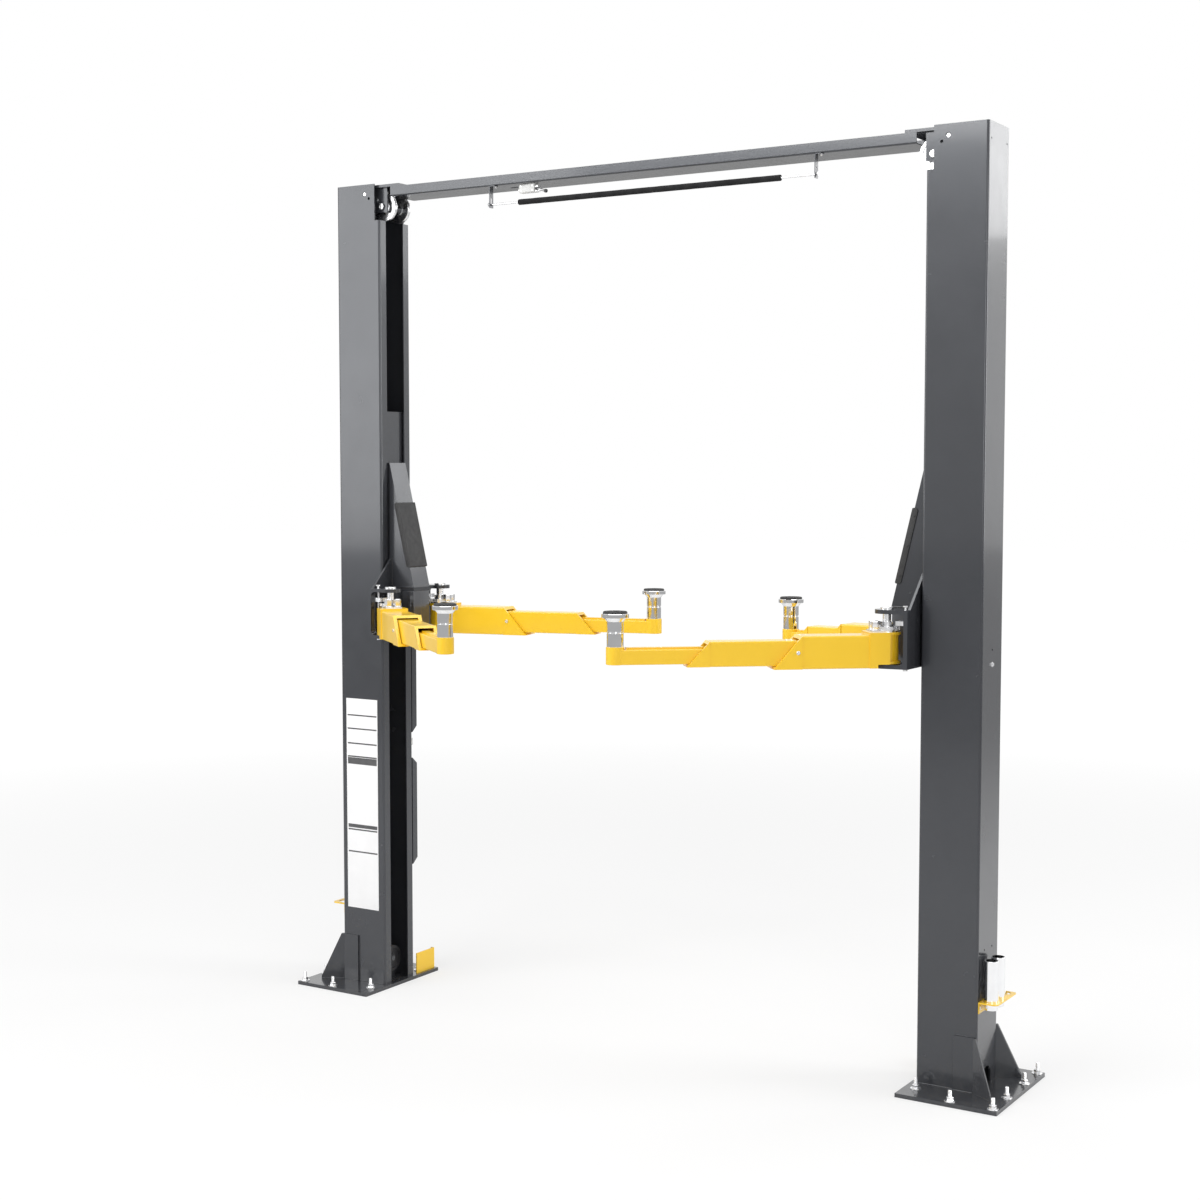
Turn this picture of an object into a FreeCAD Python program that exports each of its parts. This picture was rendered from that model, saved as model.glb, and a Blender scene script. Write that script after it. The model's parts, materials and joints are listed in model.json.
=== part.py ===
import FreeCAD, Part
import os
from math import atan, cos, radians, sin, tan
from FreeCAD import Vector

# Two post vehicle lift. Millimetres, +Z up. The origin lies on the floor, midway
# between the columns. +X runs along the overhead beam to the right column, and -Y
# is the front.

# Columns: C sections that open toward each other
COLUMN_HEIGHT = 4400
INNER_FACE = 1567
COLUMN_DEPTH = 294
COLUMN_WIDTH = 258
COLUMN_WALL = 8
COLUMN_BEND = 12
SLOT_WIDTH = 150
NOTCH_DEPTH = 35
NOTCH_HEIGHT = 195
OUTER_FACE = INNER_FACE + COLUMN_DEPTH
HALF_WIDTH = COLUMN_WIDTH / 2
CHANNEL_HALF = HALF_WIDTH - COLUMN_WALL
CHANNEL_IN = INNER_FACE + COLUMN_WALL
CHANNEL_OUT = OUTER_FACE - COLUMN_WALL

# Holes in the column walls
HEAD_BOLT_R = 12
HEAD_BOLT_IN = 103
HEAD_BOLT_DROP = 50
SIDE_HOLE_R = 7.5
SIDE_HOLE_IN = 72
SIDE_HOLE_DROP = 76
WEB_HOLE_R = 5
WEB_HOLE_SPREAD = 98
WEB_HOLE_DROP = 76
CLAMP_HOLES_Z = (1974, 2041)
LOW_HOLE_Z = 664
LOW_HOLE_SPREAD = 48
ARCH_WIDTH = 108
ARCH_HEIGHT = 92

# Base plates and their anchors
PLATE_THICK = 19
PLATE_INNER = 23
PLATE_OUTER = 169
PLATE_HALF = 324
ANCHOR_R = 11
ANCHOR_EDGE = 28
ANCHOR_MID_INSET = 230
ANCHOR_NEAR_COLUMN = 118
ANCHOR_FRONT_IN = 35
ANCHOR_FRONT_Y = 214
PLATE_X0 = INNER_FACE - PLATE_INNER
PLATE_X1 = OUTER_FACE + PLATE_OUTER

# Gusset plates lapped on the column feet, whose wings flare toward the plate's corners
GUSSET_THICK = 10
GUSSET_LAP = 110
GUSSET_HEIGHT = 255
GUSSET_REACH = 98
GUSSET_TOE = 12
GUSSET_BEND_IN = 11
GUSSET_FLARE = 31

# Toe guard plates at the rear inner edge of the base plates
GUARD_THICK = 6
GUARD_OFFSET = 5
GUARD_START = 150
GUARD_END = 312
GUARD_HEIGHT = 116
GUARD_FOOT = 28
GUARD_FOOT_START = 245
GUARD_TAB = 30

# Racks for spare adapters on the outer webs
RACK_TOP = 437
RACK_THICK = 6
RACK_REACH = 91
RACK_FRONT = -118
RACK_REAR = 140
RACK_ARM = 16
RACK_BRACKET = 53
RACK_BRACKET_WIDTH = 100
RACK_BRACKET_THICK = 4
RACK_INSET = 3
RACK_HOOK = 20
RACK_FRONT_BEND = 25
RACK_REAR_BEND = 15
NOTCH_PITCH = 84
NOTCH_FIRST = -66
NOTCH_OFFSET = 43
SPARE_R = 31.5
SPARE_BORE = 25
SPARE_MOUTH = 28.5
SPARE_SEAT = 10
SPARE_EDGE = 1
SPARE_SPIGOT_R = 29.9
SPARE_SPIGOT = 39
SPARE_HEIGHT = 189
SPARE_CLEARANCE = 0.3

# Latch covers on the rear walls
LATCH_DEPTH = 40
LATCH_WIDTH = 120
LATCH_LOW = (650, 1253)
LATCH_HIGH = (1396, 1900)
LATCH_CHAMFER = 34

# Overhead beam and the parts that carry it
BEAM_WIDTH = 214
BEAM_HEIGHT = 52
BEAM_DROP = 19
BEAM_GAP = 58
BEAM_WALL = 4
BEAM_BEND = 8
BEAM_SLOT = (-795, 60, 20)
CAP_REACH = 115
CAP_THICK = 14
CAP_LENGTH = 278
CAP_BOLT_IN = 35
BEAM_TOP = COLUMN_HEIGHT - BEAM_DROP
BEAM_BOTTOM = BEAM_TOP - BEAM_HEIGHT

# Sheaves at the column heads and feet
HEAD_SHEAVE_R = 76
HEAD_SHEAVE_THICK = 22
HEAD_SHEAVE_Y = 57
HEAD_SHEAVE_IN = 17
HEAD_SHEAVE_DROP = 119
AXLE_R = 20
AXLE_END = 6
SPACER_R = 20
SHEAVE_GROOVE = 9
SHEAVE_RIM = 6
SHEAVE_HUB = 12
SHEAVE_TAPER = 2
SHEAVE_WEB = 5.5
SHEAVE_CLEARANCE = 0.3
BRACKET_Y = 77
BRACKET_THICK = 10
BRACKET_REACH = 20
BRACKET_DROP = 150
BRACKET_LENGTH = 173
FOOT_SHEAVE_R = 72
FOOT_SHEAVE_THICK = 22
FOOT_SHEAVE_IN = 58
FOOT_SHEAVE_Z = 134
FOOT_AXLE_R = 14
FOOT_COLLAR_R = 22
FOOT_COLLAR = 4
FOOT_AXLE_END = 3
FOOT_PLATE_HALF = 45

# Shut-off bar below the beam
BAR_Y = -108
BAR_DROP = 96
BAR_Z = BEAM_BOTTOM - BAR_DROP
BAR_R = 5
PAD_R = 15
PAD_SPAN = (-670, 830)
HANGER_X = (-846, 1010)
HANGER_THICK = 4
HANGER_WIDTH = 32
HANGER_TAB = 34
HANGER_BELOW = 12
HANGER_SLOT = 12
HANGER_ROOM = 1
HANGER_BEND = 8
BAR_LIFT = 30
BAR_CLEARANCE = 0.3
BAR_END = 14
BAR_NUT_R = 10
BAR_NUT = 6
BAR_NUT_IN = 1
SWITCH_X = (-689, -594)
SWITCH_Y = (-80, -38)
SWITCH_HEIGHT = 44
LEVER_LENGTH = 80
LEVER_THICK = 4
LEVER_LAP = 20
LEVER_WIDTH = 14
ROLLER_R = 10
ROLLER_LONG = 12
ROLLER_RISE = 5
SWITCH_BEND = 4

# Carriages
RUN_GAP = 10
CARRIAGE_BOTTOM = 1925
CARRIAGE_HEIGHT = 1255
CARRIAGE_WALL = 15
CARRIAGE_HALF = 113
CARRIAGE_SETBACK = 10
CARRIAGE_END_GAP = 8
NECK_WALL = 12
NECK_HALF = SLOT_WIDTH / 2 - RUN_GAP
BLOCK_LENGTH = 100
BLOCK_INSET = 12
BLOCK_GAP = 0.5
BLOCK_CHAMFER = 6
RIB_RISES = (255, 635, 1015)

# Yoke, ears and arm pins
YOKE_OUT = INNER_FACE - RUN_GAP
YOKE_BACK = 20
YOKE_DEPTH = 77
YOKE_FRONT = YOKE_OUT - YOKE_DEPTH
PIVOT_REACH = 119
PIVOT_X = YOKE_OUT - PIVOT_REACH
PIVOT_Y = 220
YOKE_BOX_HALF = 130
YOKE_HALF = 265
YOKE_BOTTOM = 1955
YOKE_TOP = 2224
EAR_THICK = 19
EAR_R = 55
EAR_FILLET = 24
EAR_STEP = 7
PIN_R = 19
PIN_HEAD_R = 30
PIN_HEAD = 10
PIN_EDGE = 2
PIN_BELOW = 4
PIN_CLEARANCE = 0.3
ROD_R = 6
ROD_IN = 30
ROD_X = YOKE_OUT - ROD_IN
ROD_Y = 213
ROD_ABOVE = 12
ROD_BELOW = 11
KNOB_R = 13
KNOB = 6
ROD_STOP_R = 10
ROD_STOP_GAP = 1
PAWL_THICK = 20
PAWL_LIFT = 6
PAWL_SPREAD = 30
PAWL_MARGIN = 3
PAWL_TEETH = 3
YOKE_GUSSET = 160
YOKE_GUSSET_THICK = 12

# Tower above the yoke, with its door pad
TOWER_REACH = 85
TOWER_FOOT = YOKE_FRONT - TOWER_REACH
TOWER_TOP = 2900
TOWER_HALF = 70
TOWER_WALL = 8
DOOR_PAD_RISES = (109, 460)
DOOR_PAD_FRONT = 10
DOOR_PAD_WRAP = 21
DOOR_PAD_SIDE = 5
DOOR_PAD_CORNER = 6
DOOR_PAD_ROUND = 14

# Telescoping arms, measured along the arm from the pivot
ARM_RISE = 5
ARM_BOTTOM = YOKE_BOTTOM + ARM_RISE
ARM_HEIGHT = 150
ARM_HALF = 70
ARM_WALL = 14
ARM_BEND = 8
ARM_SEAM = 411
ARM_TIP = 541
ARM_BLOCK = (4, 98)
ARM_PROUD = 4.5
ROOT_LENGTH = 60
ROOT_WALL = 12
ROOT_RISE = 17
FLANGE_THICK = 12
FLANGE_R = 64
BARREL_R = 54
MIDDLE_START = 115
MIDDLE_SEAM = 609
MIDDLE_TIP = 713
MIDDLE_WALL = 12
MIDDLE_BEND = 6
MIDDLE_PROUD = 3
MIDDLE_HEIGHT = 114
INNER_START = 130
INNER_WALL = 9
INNER_BEND = 5
INNER_HEIGHT = 68
INNER_SIDE_WALL = 9
INNER_STRIP = (320, 690)
INNER_STRIP_WIDTH = 36
INNER_STRIP_THICK = 9
NOSE_CENTRE = 737
NOSE_R = 42
NOSE_RISE = 12
NOSE_EDGE = 2
SLIDE_GAP = 0.3
SIDE_GAP = 4
MIDDLE_TRAVEL = 222
INNER_TRAVEL = 294

# Restraint gears on the arms
GEAR_BASE = 8
GEAR_THICK = 24
GEAR_HUB = 46
GEAR_HUB_R = 30
GEAR_R = 58
GEAR_ROOT = 51
GEAR_TEETH = 30
GEAR_SPAN = (75, 285)
TOOTH_FOOT = 0.27
TOOTH_TIP = 0.12
TOOTH_SINK = 2
TONGUE_BACK = 14
TONGUE_HALF = 45

# Lift adapters in the arm noses
ADAPTER_SPIGOT_R = 29.9
ADAPTER_BORE_R = 30
ADAPTER_COLLAR_R = 38
ADAPTER_COLLAR = 130
ADAPTER_CUP_R = 62
ADAPTER_CUP = 20
ADAPTER_INSET = 5
ADAPTER_EDGE = 2
ADAPTER_FLARE = 16
ADAPTER_NECK_R = 50
ADAPTER_GROOVE = 2
TOP_PAD_R = 55
TOP_PAD_DEPTH = 8
TOP_PAD_HEIGHT = 18
TOP_PAD_EDGE = 3

# The pose in the photo: angle outward from straight in, and how far each arm is out
ARMS = {
    "front_right": (1, -1, 39.7, 1.0),
    "rear_right": (1, 1, 5.0, 0.0),
    "front_left": (-1, -1, 39.7, 1.0),
    "rear_left": (-1, 1, 12.8, 1.0),
}

MIDDLE_HALF = ARM_HALF - ARM_WALL - SIDE_GAP
MIDDLE_BOTTOM = ARM_BOTTOM + ARM_WALL + SLIDE_GAP
INNER_HALF = MIDDLE_HALF - MIDDLE_WALL - SIDE_GAP
INNER_BOTTOM = MIDDLE_BOTTOM + MIDDLE_WALL + SLIDE_GAP
ARM_TOP = ARM_BOTTOM + ARM_HEIGHT
NOSE_TOP = INNER_BOTTOM + INNER_HEIGHT + NOSE_RISE
ROOT_BOTTOM = ARM_BOTTOM + ROOT_RISE
FLANGE_TOP = ARM_TOP + FLANGE_THICK

UP = Vector(0, 0, 1)
ALONG_X = Vector(1, 0, 0)
ALONG_Y = Vector(0, 1, 0)
ORIGIN = Vector(0, 0, 0)
PAST = 1
CLOSE = 0.01


def box(x0, x1, y0, y1, z0, z1):
    return Part.makeBox(x1 - x0, y1 - y0, z1 - z0, Vector(x0, y0, z0))


def rod(radius, start, end):
    path = Vector(*end) - Vector(*start)
    return Part.makeCylinder(radius, path.Length, Vector(*start), path)


def slab(points, depth):
    """A flat outline pushed along the depth vector."""
    corners = [Vector(*point) for point in points]
    return Part.Face(Part.makePolygon(corners + corners[:1])).extrude(depth)


def side_plate(outline, y0, y1):
    """An outline of x and z, as a plate between two y values."""
    return slab([(x, y0, z) for x, z in outline], Vector(0, y1 - y0, 0))


def floor_plate(outline, z0, z1):
    """An outline of x and y, as a plate between two heights."""
    return slab([(x, y, z0) for x, y in outline], Vector(0, 0, z1 - z0))


def fused(first, *others):
    return first.multiFuse(list(others)).removeSplitter()


def mirrored(shape, across):
    return shape.mirror(ORIGIN, across)


def both_y(shape):
    """The shape and its mirror image at the other side of the XZ plane."""
    return [shape, mirrored(shape, ALONG_Y)]


def both_columns(*shapes):
    """Solids for the right column, and their mirror images for the left one."""
    return list(shapes) + [mirrored(shape, ALONG_X) for shape in shapes]


def export(name, *shapes):
    shape = shapes[0] if len(shapes) == 1 else Part.makeCompound(list(shapes))
    shape.exportStep("parts/" + name + ".step")


def export_pair(name, shape):
    """One node for each column, the left one a mirror image."""
    export("right_" + name, shape)
    export("left_" + name, mirrored(shape, ALONG_X))


def straight_edges(shape, along, length):
    """The straight edges along an axis that are as long as the given length."""
    found = []
    for edge in shape.Edges:
        run = edge.Vertexes[-1].Point - edge.Vertexes[0].Point
        if abs(abs(run.dot(along)) - length) < CLOSE and abs(run.Length - length) < CLOSE:
            found.append(edge)
    return found


def turned(profile):
    """A closed outline of radius and height, turned about the Z axis."""
    corners = [Vector(radius, 0, z) for radius, z in profile]
    return Part.Face(Part.makePolygon(corners + corners[:1])).revolve(ORIGIN, UP, 360)


# Columns

def column():
    height = COLUMN_HEIGHT - PLATE_THICK
    skin = box(INNER_FACE, OUTER_FACE, -HALF_WIDTH, HALF_WIDTH, PLATE_THICK, COLUMN_HEIGHT)
    skin = skin.makeFillet(COLUMN_BEND, straight_edges(skin, UP, height))
    hollow = box(CHANNEL_IN, CHANNEL_OUT, -CHANNEL_HALF, CHANNEL_HALF, PLATE_THICK, COLUMN_HEIGHT)
    hollow = hollow.makeFillet(COLUMN_BEND - COLUMN_WALL, straight_edges(hollow, UP, height))
    slot = box(INNER_FACE, CHANNEL_IN + PAST, -SLOT_WIDTH / 2, SLOT_WIDTH / 2, PLATE_THICK, COLUMN_HEIGHT)
    notch = box(INNER_FACE, INNER_FACE + NOTCH_DEPTH, -HALF_WIDTH, HALF_WIDTH,
                COLUMN_HEIGHT - NOTCH_HEIGHT, COLUMN_HEIGHT)
    shape = skin.cut([hollow, slot, notch] + column_holes())
    return shape.removeSplitter()


def column_holes():
    head_x = INNER_FACE + HEAD_BOLT_IN
    head_z = COLUMN_HEIGHT - HEAD_BOLT_DROP
    side_x = INNER_FACE + SIDE_HOLE_IN
    side_z = COLUMN_HEIGHT - SIDE_HOLE_DROP
    holes = [
        rod(HEAD_BOLT_R, (head_x, -HALF_WIDTH, head_z), (head_x, HALF_WIDTH, head_z)),
        rod(SIDE_HOLE_R, (side_x, -HALF_WIDTH, side_z), (side_x, HALF_WIDTH, side_z)),
    ]
    for y in (-WEB_HOLE_SPREAD, WEB_HOLE_SPREAD):
        holes.append(web_hole(y, COLUMN_HEIGHT - WEB_HOLE_DROP))
    for y in (-LOW_HOLE_SPREAD, LOW_HOLE_SPREAD):
        holes.append(web_hole(y, LOW_HOLE_Z))
    for z in CLAMP_HOLES_Z:
        holes.append(web_hole(0, z))
    half = ARCH_WIDTH / 2
    spring = PLATE_THICK + ARCH_HEIGHT - half
    holes.append(box(CHANNEL_OUT - PAST, OUTER_FACE + PAST, -half, half, PLATE_THICK, spring))
    holes.append(rod(half, (CHANNEL_OUT - PAST, 0, spring), (OUTER_FACE + PAST, 0, spring)))
    return holes


def web_hole(y, z):
    return rod(WEB_HOLE_R, (CHANNEL_OUT - PAST, y, z), (OUTER_FACE + PAST, y, z))


def anchor_places():
    edge_x = PLATE_X1 - ANCHOR_EDGE
    edge_y = PLATE_HALF - ANCHOR_EDGE
    places = []
    for side in (-1, 1):
        places.append((edge_x, side * edge_y))
        places.append((edge_x, side * ANCHOR_NEAR_COLUMN))
        places.append((PLATE_X1 - ANCHOR_MID_INSET, side * edge_y))
        places.append((INNER_FACE + ANCHOR_FRONT_IN, side * ANCHOR_FRONT_Y))
    return places


def base_plate():
    plate = box(PLATE_X0, PLATE_X1, -PLATE_HALF, PLATE_HALF, 0, PLATE_THICK)
    holes = [rod(ANCHOR_R, (x, y, 0), (x, y, PLATE_THICK)) for x, y in anchor_places()]
    return plate.cut(holes)


def gusset_plan():
    """A strip that lies on the side wall and then turns outward, in plan."""
    lap_x = OUTER_FACE - GUSSET_LAP
    bend_x = OUTER_FACE - GUSSET_BEND_IN
    toe_x = OUTER_FACE + GUSSET_REACH
    flare = radians(GUSSET_FLARE)
    y0 = HALF_WIDTH
    y1 = HALF_WIDTH + GUSSET_THICK
    toe_y = y0 + (toe_x - bend_x) * tan(flare)
    inside_x = bend_x - GUSSET_THICK * tan(flare / 2)
    return [(lap_x, y0), (bend_x, y0), (toe_x, toe_y), (toe_x, toe_y + GUSSET_THICK / cos(flare)),
            (inside_x, y1), (lap_x, y1)]


def base_gussets():
    lap_x = OUTER_FACE - GUSSET_LAP
    top = PLATE_THICK + GUSSET_HEIGHT
    toe_x = OUTER_FACE + GUSSET_REACH
    outline = [(lap_x, PLATE_THICK), (lap_x, top), (OUTER_FACE, top),
               (toe_x, PLATE_THICK + GUSSET_TOE), (toe_x, PLATE_THICK)]
    bent = floor_plate(gusset_plan(), PLATE_THICK, top)
    return both_y(bent.common(side_plate(outline, 0, PLATE_HALF)))


def toe_guard():
    x0 = INNER_FACE - GUARD_OFFSET
    x1 = x0 + GUARD_THICK
    top = PLATE_THICK + GUARD_HEIGHT
    plate = box(x0, x1, GUARD_START, GUARD_END, PLATE_THICK, top)
    foot = box(x0, x1 + GUARD_FOOT, GUARD_FOOT_START, GUARD_END, PLATE_THICK, PLATE_THICK + GUARD_THICK)
    tab = box(x0, x1 + GUARD_TAB / 2, GUARD_END - GUARD_THICK, GUARD_END, top - GUARD_TAB, top)
    return fused(plate, foot, tab)


def notch_centres():
    x = OUTER_FACE + NOTCH_OFFSET
    return [(x, NOTCH_FIRST + step * NOTCH_PITCH) for step in range(3)]


def adapter_rack():
    """A flat rail with open notches, its outer corners rounded, on a bracket and one arm."""
    z0 = RACK_TOP - RACK_THICK
    reach = OUTER_FACE + RACK_REACH
    inner = OUTER_FACE + NOTCH_OFFSET - RACK_INSET
    arm = box(OUTER_FACE, reach, RACK_FRONT, RACK_FRONT + RACK_ARM, z0, RACK_TOP)
    rail = box(inner, reach, RACK_FRONT, RACK_REAR, z0, RACK_TOP)
    flat = rounded_rack(fused(arm, rail), reach)
    bracket = box(OUTER_FACE, OUTER_FACE + RACK_BRACKET_THICK, RACK_FRONT,
                  RACK_FRONT + RACK_BRACKET_WIDTH, RACK_TOP - RACK_BRACKET, RACK_TOP)
    hook = box(inner, inner + RACK_THICK, RACK_REAR - RACK_ARM, RACK_REAR, RACK_TOP - RACK_HOOK, RACK_TOP)
    notches = []
    for x, y in notch_centres():
        radius = SPARE_SPIGOT_R + SPARE_CLEARANCE
        notches.append(rod(radius, (x, y, z0), (x, y, RACK_TOP)))
    return fused(flat, bracket, hook).cut(notches)


def rounded_rack(flat, reach):
    corners = [edge for edge in straight_edges(flat, UP, RACK_THICK)
               if abs(edge.Vertexes[0].X - reach) < CLOSE]
    front = [edge for edge in corners if edge.Vertexes[0].Y < 0]
    flat = flat.makeFillet(RACK_FRONT_BEND, front)
    rear = [edge for edge in straight_edges(flat, UP, RACK_THICK)
            if abs(edge.Vertexes[0].X - reach) < CLOSE and abs(edge.Vertexes[0].Y - RACK_REAR) < CLOSE]
    return flat.makeFillet(RACK_REAR_BEND, rear)


def spare_adapter(x, y):
    """A tube on a narrower spigot, with a wide mouth."""
    low = RACK_TOP - SPARE_SPIGOT
    top = RACK_TOP + SPARE_HEIGHT
    seat = RACK_TOP + SPARE_SEAT
    edge = SPARE_EDGE
    shape = turned([
        (SPARE_BORE, low), (SPARE_SPIGOT_R - edge, low), (SPARE_SPIGOT_R, low + edge),
        (SPARE_SPIGOT_R, RACK_TOP), (SPARE_R, RACK_TOP), (SPARE_R, top - edge), (SPARE_R - edge, top),
        (SPARE_MOUTH, top), (SPARE_MOUTH, seat), (SPARE_BORE, seat - SPARE_MOUTH + SPARE_BORE),
    ])
    shape.translate(Vector(x, y, 0))
    return shape


def latch_cover(bottom, top):
    """A folded cover on the rear wall, chamfered at both ends."""
    y0 = HALF_WIDTH
    y1 = HALF_WIDTH + LATCH_DEPTH
    outline = [(y0, bottom), (y1, bottom + LATCH_CHAMFER), (y1, top - LATCH_CHAMFER), (y0, top)]
    points = [(INNER_FACE, y, z) for y, z in outline]
    return slab(points, Vector(LATCH_WIDTH, 0, 0))


# Overhead beam and column heads

def beam_trough(half, bottom, bend):
    """A bar along X whose two lower edges are rounded."""
    end = INNER_FACE - BEAM_GAP
    bar = box(-end, end, -half, half, bottom, BEAM_TOP)
    lower = [edge for edge in straight_edges(bar, ALONG_X, 2 * end) if edge.Vertexes[0].Z < bottom + CLOSE]
    return bar.makeFillet(bend, lower)


def overhead_beam():
    """A folded trough, open at the top."""
    half = BEAM_WIDTH / 2
    outside = beam_trough(half, BEAM_BOTTOM, BEAM_BEND)
    hollow = beam_trough(half - BEAM_WALL, BEAM_BOTTOM + BEAM_WALL, BEAM_BEND - BEAM_WALL)
    slot_x, slot_length, slot_width = BEAM_SLOT
    slot = box(slot_x, slot_x + slot_length, -slot_width / 2, slot_width / 2, BEAM_BOTTOM, BEAM_TOP)
    return outside.cut([hollow, slot])


def beam_cap():
    half = BEAM_WIDTH / 2
    x0 = INNER_FACE - CAP_REACH
    plate = box(x0, x0 + CAP_LENGTH, -half, half, BEAM_TOP, BEAM_TOP + CAP_THICK)
    bolt_x = x0 + CAP_BOLT_IN
    bolts = [rod(SIDE_HOLE_R, (bolt_x, y, BEAM_TOP), (bolt_x, y, BEAM_TOP + CAP_THICK))
             for y in (-half / 2, half / 2)]
    return plate.cut(bolts)


def head_axis():
    return INNER_FACE + HEAD_SHEAVE_IN, COLUMN_HEIGHT - HEAD_SHEAVE_DROP


def sheave_bracket():
    """Two cheek plates joined at the back, spaced off the side walls by tubes."""
    x0 = INNER_FACE - BRACKET_REACH
    x1 = x0 + BRACKET_LENGTH
    y1 = BRACKET_Y + BRACKET_THICK
    cheeks = both_y(box(x0, x1, BRACKET_Y, y1, COLUMN_HEIGHT - BRACKET_DROP, BEAM_TOP))
    back = box(x1 - BRACKET_THICK, x1, -y1, y1, COLUMN_HEIGHT - BRACKET_DROP, BEAM_TOP)
    head_x = INNER_FACE + HEAD_BOLT_IN
    head_z = COLUMN_HEIGHT - HEAD_BOLT_DROP
    spacers = both_y(rod(SPACER_R, (head_x, y1, head_z), (head_x, CHANNEL_HALF, head_z)))
    bolt = rod(HEAD_BOLT_R, (head_x, -CHANNEL_HALF, head_z), (head_x, CHANNEL_HALF, head_z))
    axis_x, axis_z = head_axis()
    axle = rod(AXLE_R, (axis_x, -y1 - AXLE_END, axis_z), (axis_x, y1 + AXLE_END, axis_z))
    return fused(*cheeks, back, *spacers).cut(bolt).fuse(axle).removeSplitter()


def sheave(radius, thick, bore):
    """A wheel about the Z axis, centred on the origin, with a round groove and a thinned web."""
    half = thick / 2
    rim = radius - SHEAVE_GROOVE - SHEAVE_RIM
    hub = bore + SHEAVE_HUB
    taper = SHEAVE_TAPER
    wheel = turned([
        (bore, half), (hub, half), (hub + taper, SHEAVE_WEB), (rim - taper, SHEAVE_WEB), (rim, half),
        (radius, half), (radius, -half), (rim, -half), (rim - taper, -SHEAVE_WEB),
        (hub + taper, -SHEAVE_WEB), (hub, -half), (bore, -half),
    ])
    return wheel.cut(Part.makeTorus(radius, SHEAVE_GROOVE))


def head_sheaves():
    axis_x, axis_z = head_axis()
    wheel = sheave(HEAD_SHEAVE_R, HEAD_SHEAVE_THICK, AXLE_R + SHEAVE_CLEARANCE)
    wheel.rotate(ORIGIN, ALONG_X, 90)
    wheel.translate(Vector(axis_x, HEAD_SHEAVE_Y, axis_z))
    return both_y(wheel)


def foot_sheave():
    wheel = sheave(FOOT_SHEAVE_R, FOOT_SHEAVE_THICK, FOOT_AXLE_R + SHEAVE_CLEARANCE)
    wheel.rotate(ORIGIN, ALONG_Y, 90)
    wheel.translate(Vector(INNER_FACE + FOOT_SHEAVE_IN, 0, FOOT_SHEAVE_Z))
    return wheel


def foot_bracket():
    """An upright plate behind the sheave, with its axle and a foot on the base plate."""
    sheave_x = INNER_FACE + FOOT_SHEAVE_IN
    x0 = sheave_x + FOOT_SHEAVE_THICK / 2 + FOOT_COLLAR
    x1 = x0 + GUSSET_THICK
    half = FOOT_PLATE_HALF
    z = FOOT_SHEAVE_Z
    plate = box(x0, x1, -half, half, PLATE_THICK, z + half)
    foot = box(x0, x1 + 2 * half, -half, half, PLATE_THICK, PLATE_THICK + GUSSET_THICK)
    brace_points = [(x1, PLATE_THICK), (x1, z), (x1 + 2 * half, PLATE_THICK)]
    brace = side_plate(brace_points, -GUSSET_THICK / 2, GUSSET_THICK / 2)
    axle_end = sheave_x - FOOT_SHEAVE_THICK / 2 - FOOT_AXLE_END
    axle = rod(FOOT_AXLE_R, (axle_end, 0, z), (x1, 0, z))
    collar = rod(FOOT_COLLAR_R, (x0 - FOOT_COLLAR + SHEAVE_CLEARANCE, 0, z), (x0, 0, z))
    return fused(plate, foot, brace, axle, collar)


# Shut-off bar

def bar_hanger(x):
    """A strap bent under the beam, with a round-ended slot for the bar."""
    y0 = BAR_Y - HANGER_WIDTH / 2
    y1 = BAR_Y + HANGER_WIDTH / 2
    low = BAR_Z - BAR_R - BAR_CLEARANCE
    strap = box(x, x + HANGER_THICK, y0, y1, low - HANGER_BELOW, BEAM_BOTTOM)
    tab = box(x, x + HANGER_TAB, y0, y1, BEAM_BOTTOM - HANGER_THICK, BEAM_BOTTOM)
    bent = fused(strap, tab)
    outside = [edge for edge in straight_edges(bent, ALONG_Y, HANGER_WIDTH)
               if abs(edge.Vertexes[0].X - x) < CLOSE and abs(edge.Vertexes[0].Z - BEAM_BOTTOM) < CLOSE]
    return bent.makeFillet(HANGER_BEND, outside).cut(hanger_slot(x, low))


def hanger_slot(x, low):
    radius = HANGER_SLOT / 2
    z0 = low + radius
    z1 = BAR_Z + BAR_LIFT + BAR_R + HANGER_ROOM - radius
    straight = box(x, x + HANGER_THICK, BAR_Y - radius, BAR_Y + radius, z0, z1)
    ends = [rod(radius, (x, BAR_Y, z), (x + HANGER_THICK, BAR_Y, z)) for z in (z0, z1)]
    return fused(straight, *ends)


def shutoff_bar():
    start = HANGER_X[0] - BAR_END
    end = HANGER_X[1] + HANGER_THICK + BAR_END
    bar = rod(BAR_R, (start, BAR_Y, BAR_Z), (end, BAR_Y, BAR_Z))
    nuts = []
    for x in (start + BAR_NUT_IN, end - BAR_NUT_IN - BAR_NUT):
        nuts.append(rod(BAR_NUT_R, (x, BAR_Y, BAR_Z), (x + BAR_NUT, BAR_Y, BAR_Z)))
    return fused(bar, *nuts)


def shutoff_pad():
    start, end = PAD_SPAN
    sleeve = rod(PAD_R, (start, BAR_Y, BAR_Z), (end, BAR_Y, BAR_Z))
    return sleeve.cut(rod(BAR_R, (start, BAR_Y, BAR_Z), (end, BAR_Y, BAR_Z)))


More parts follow.
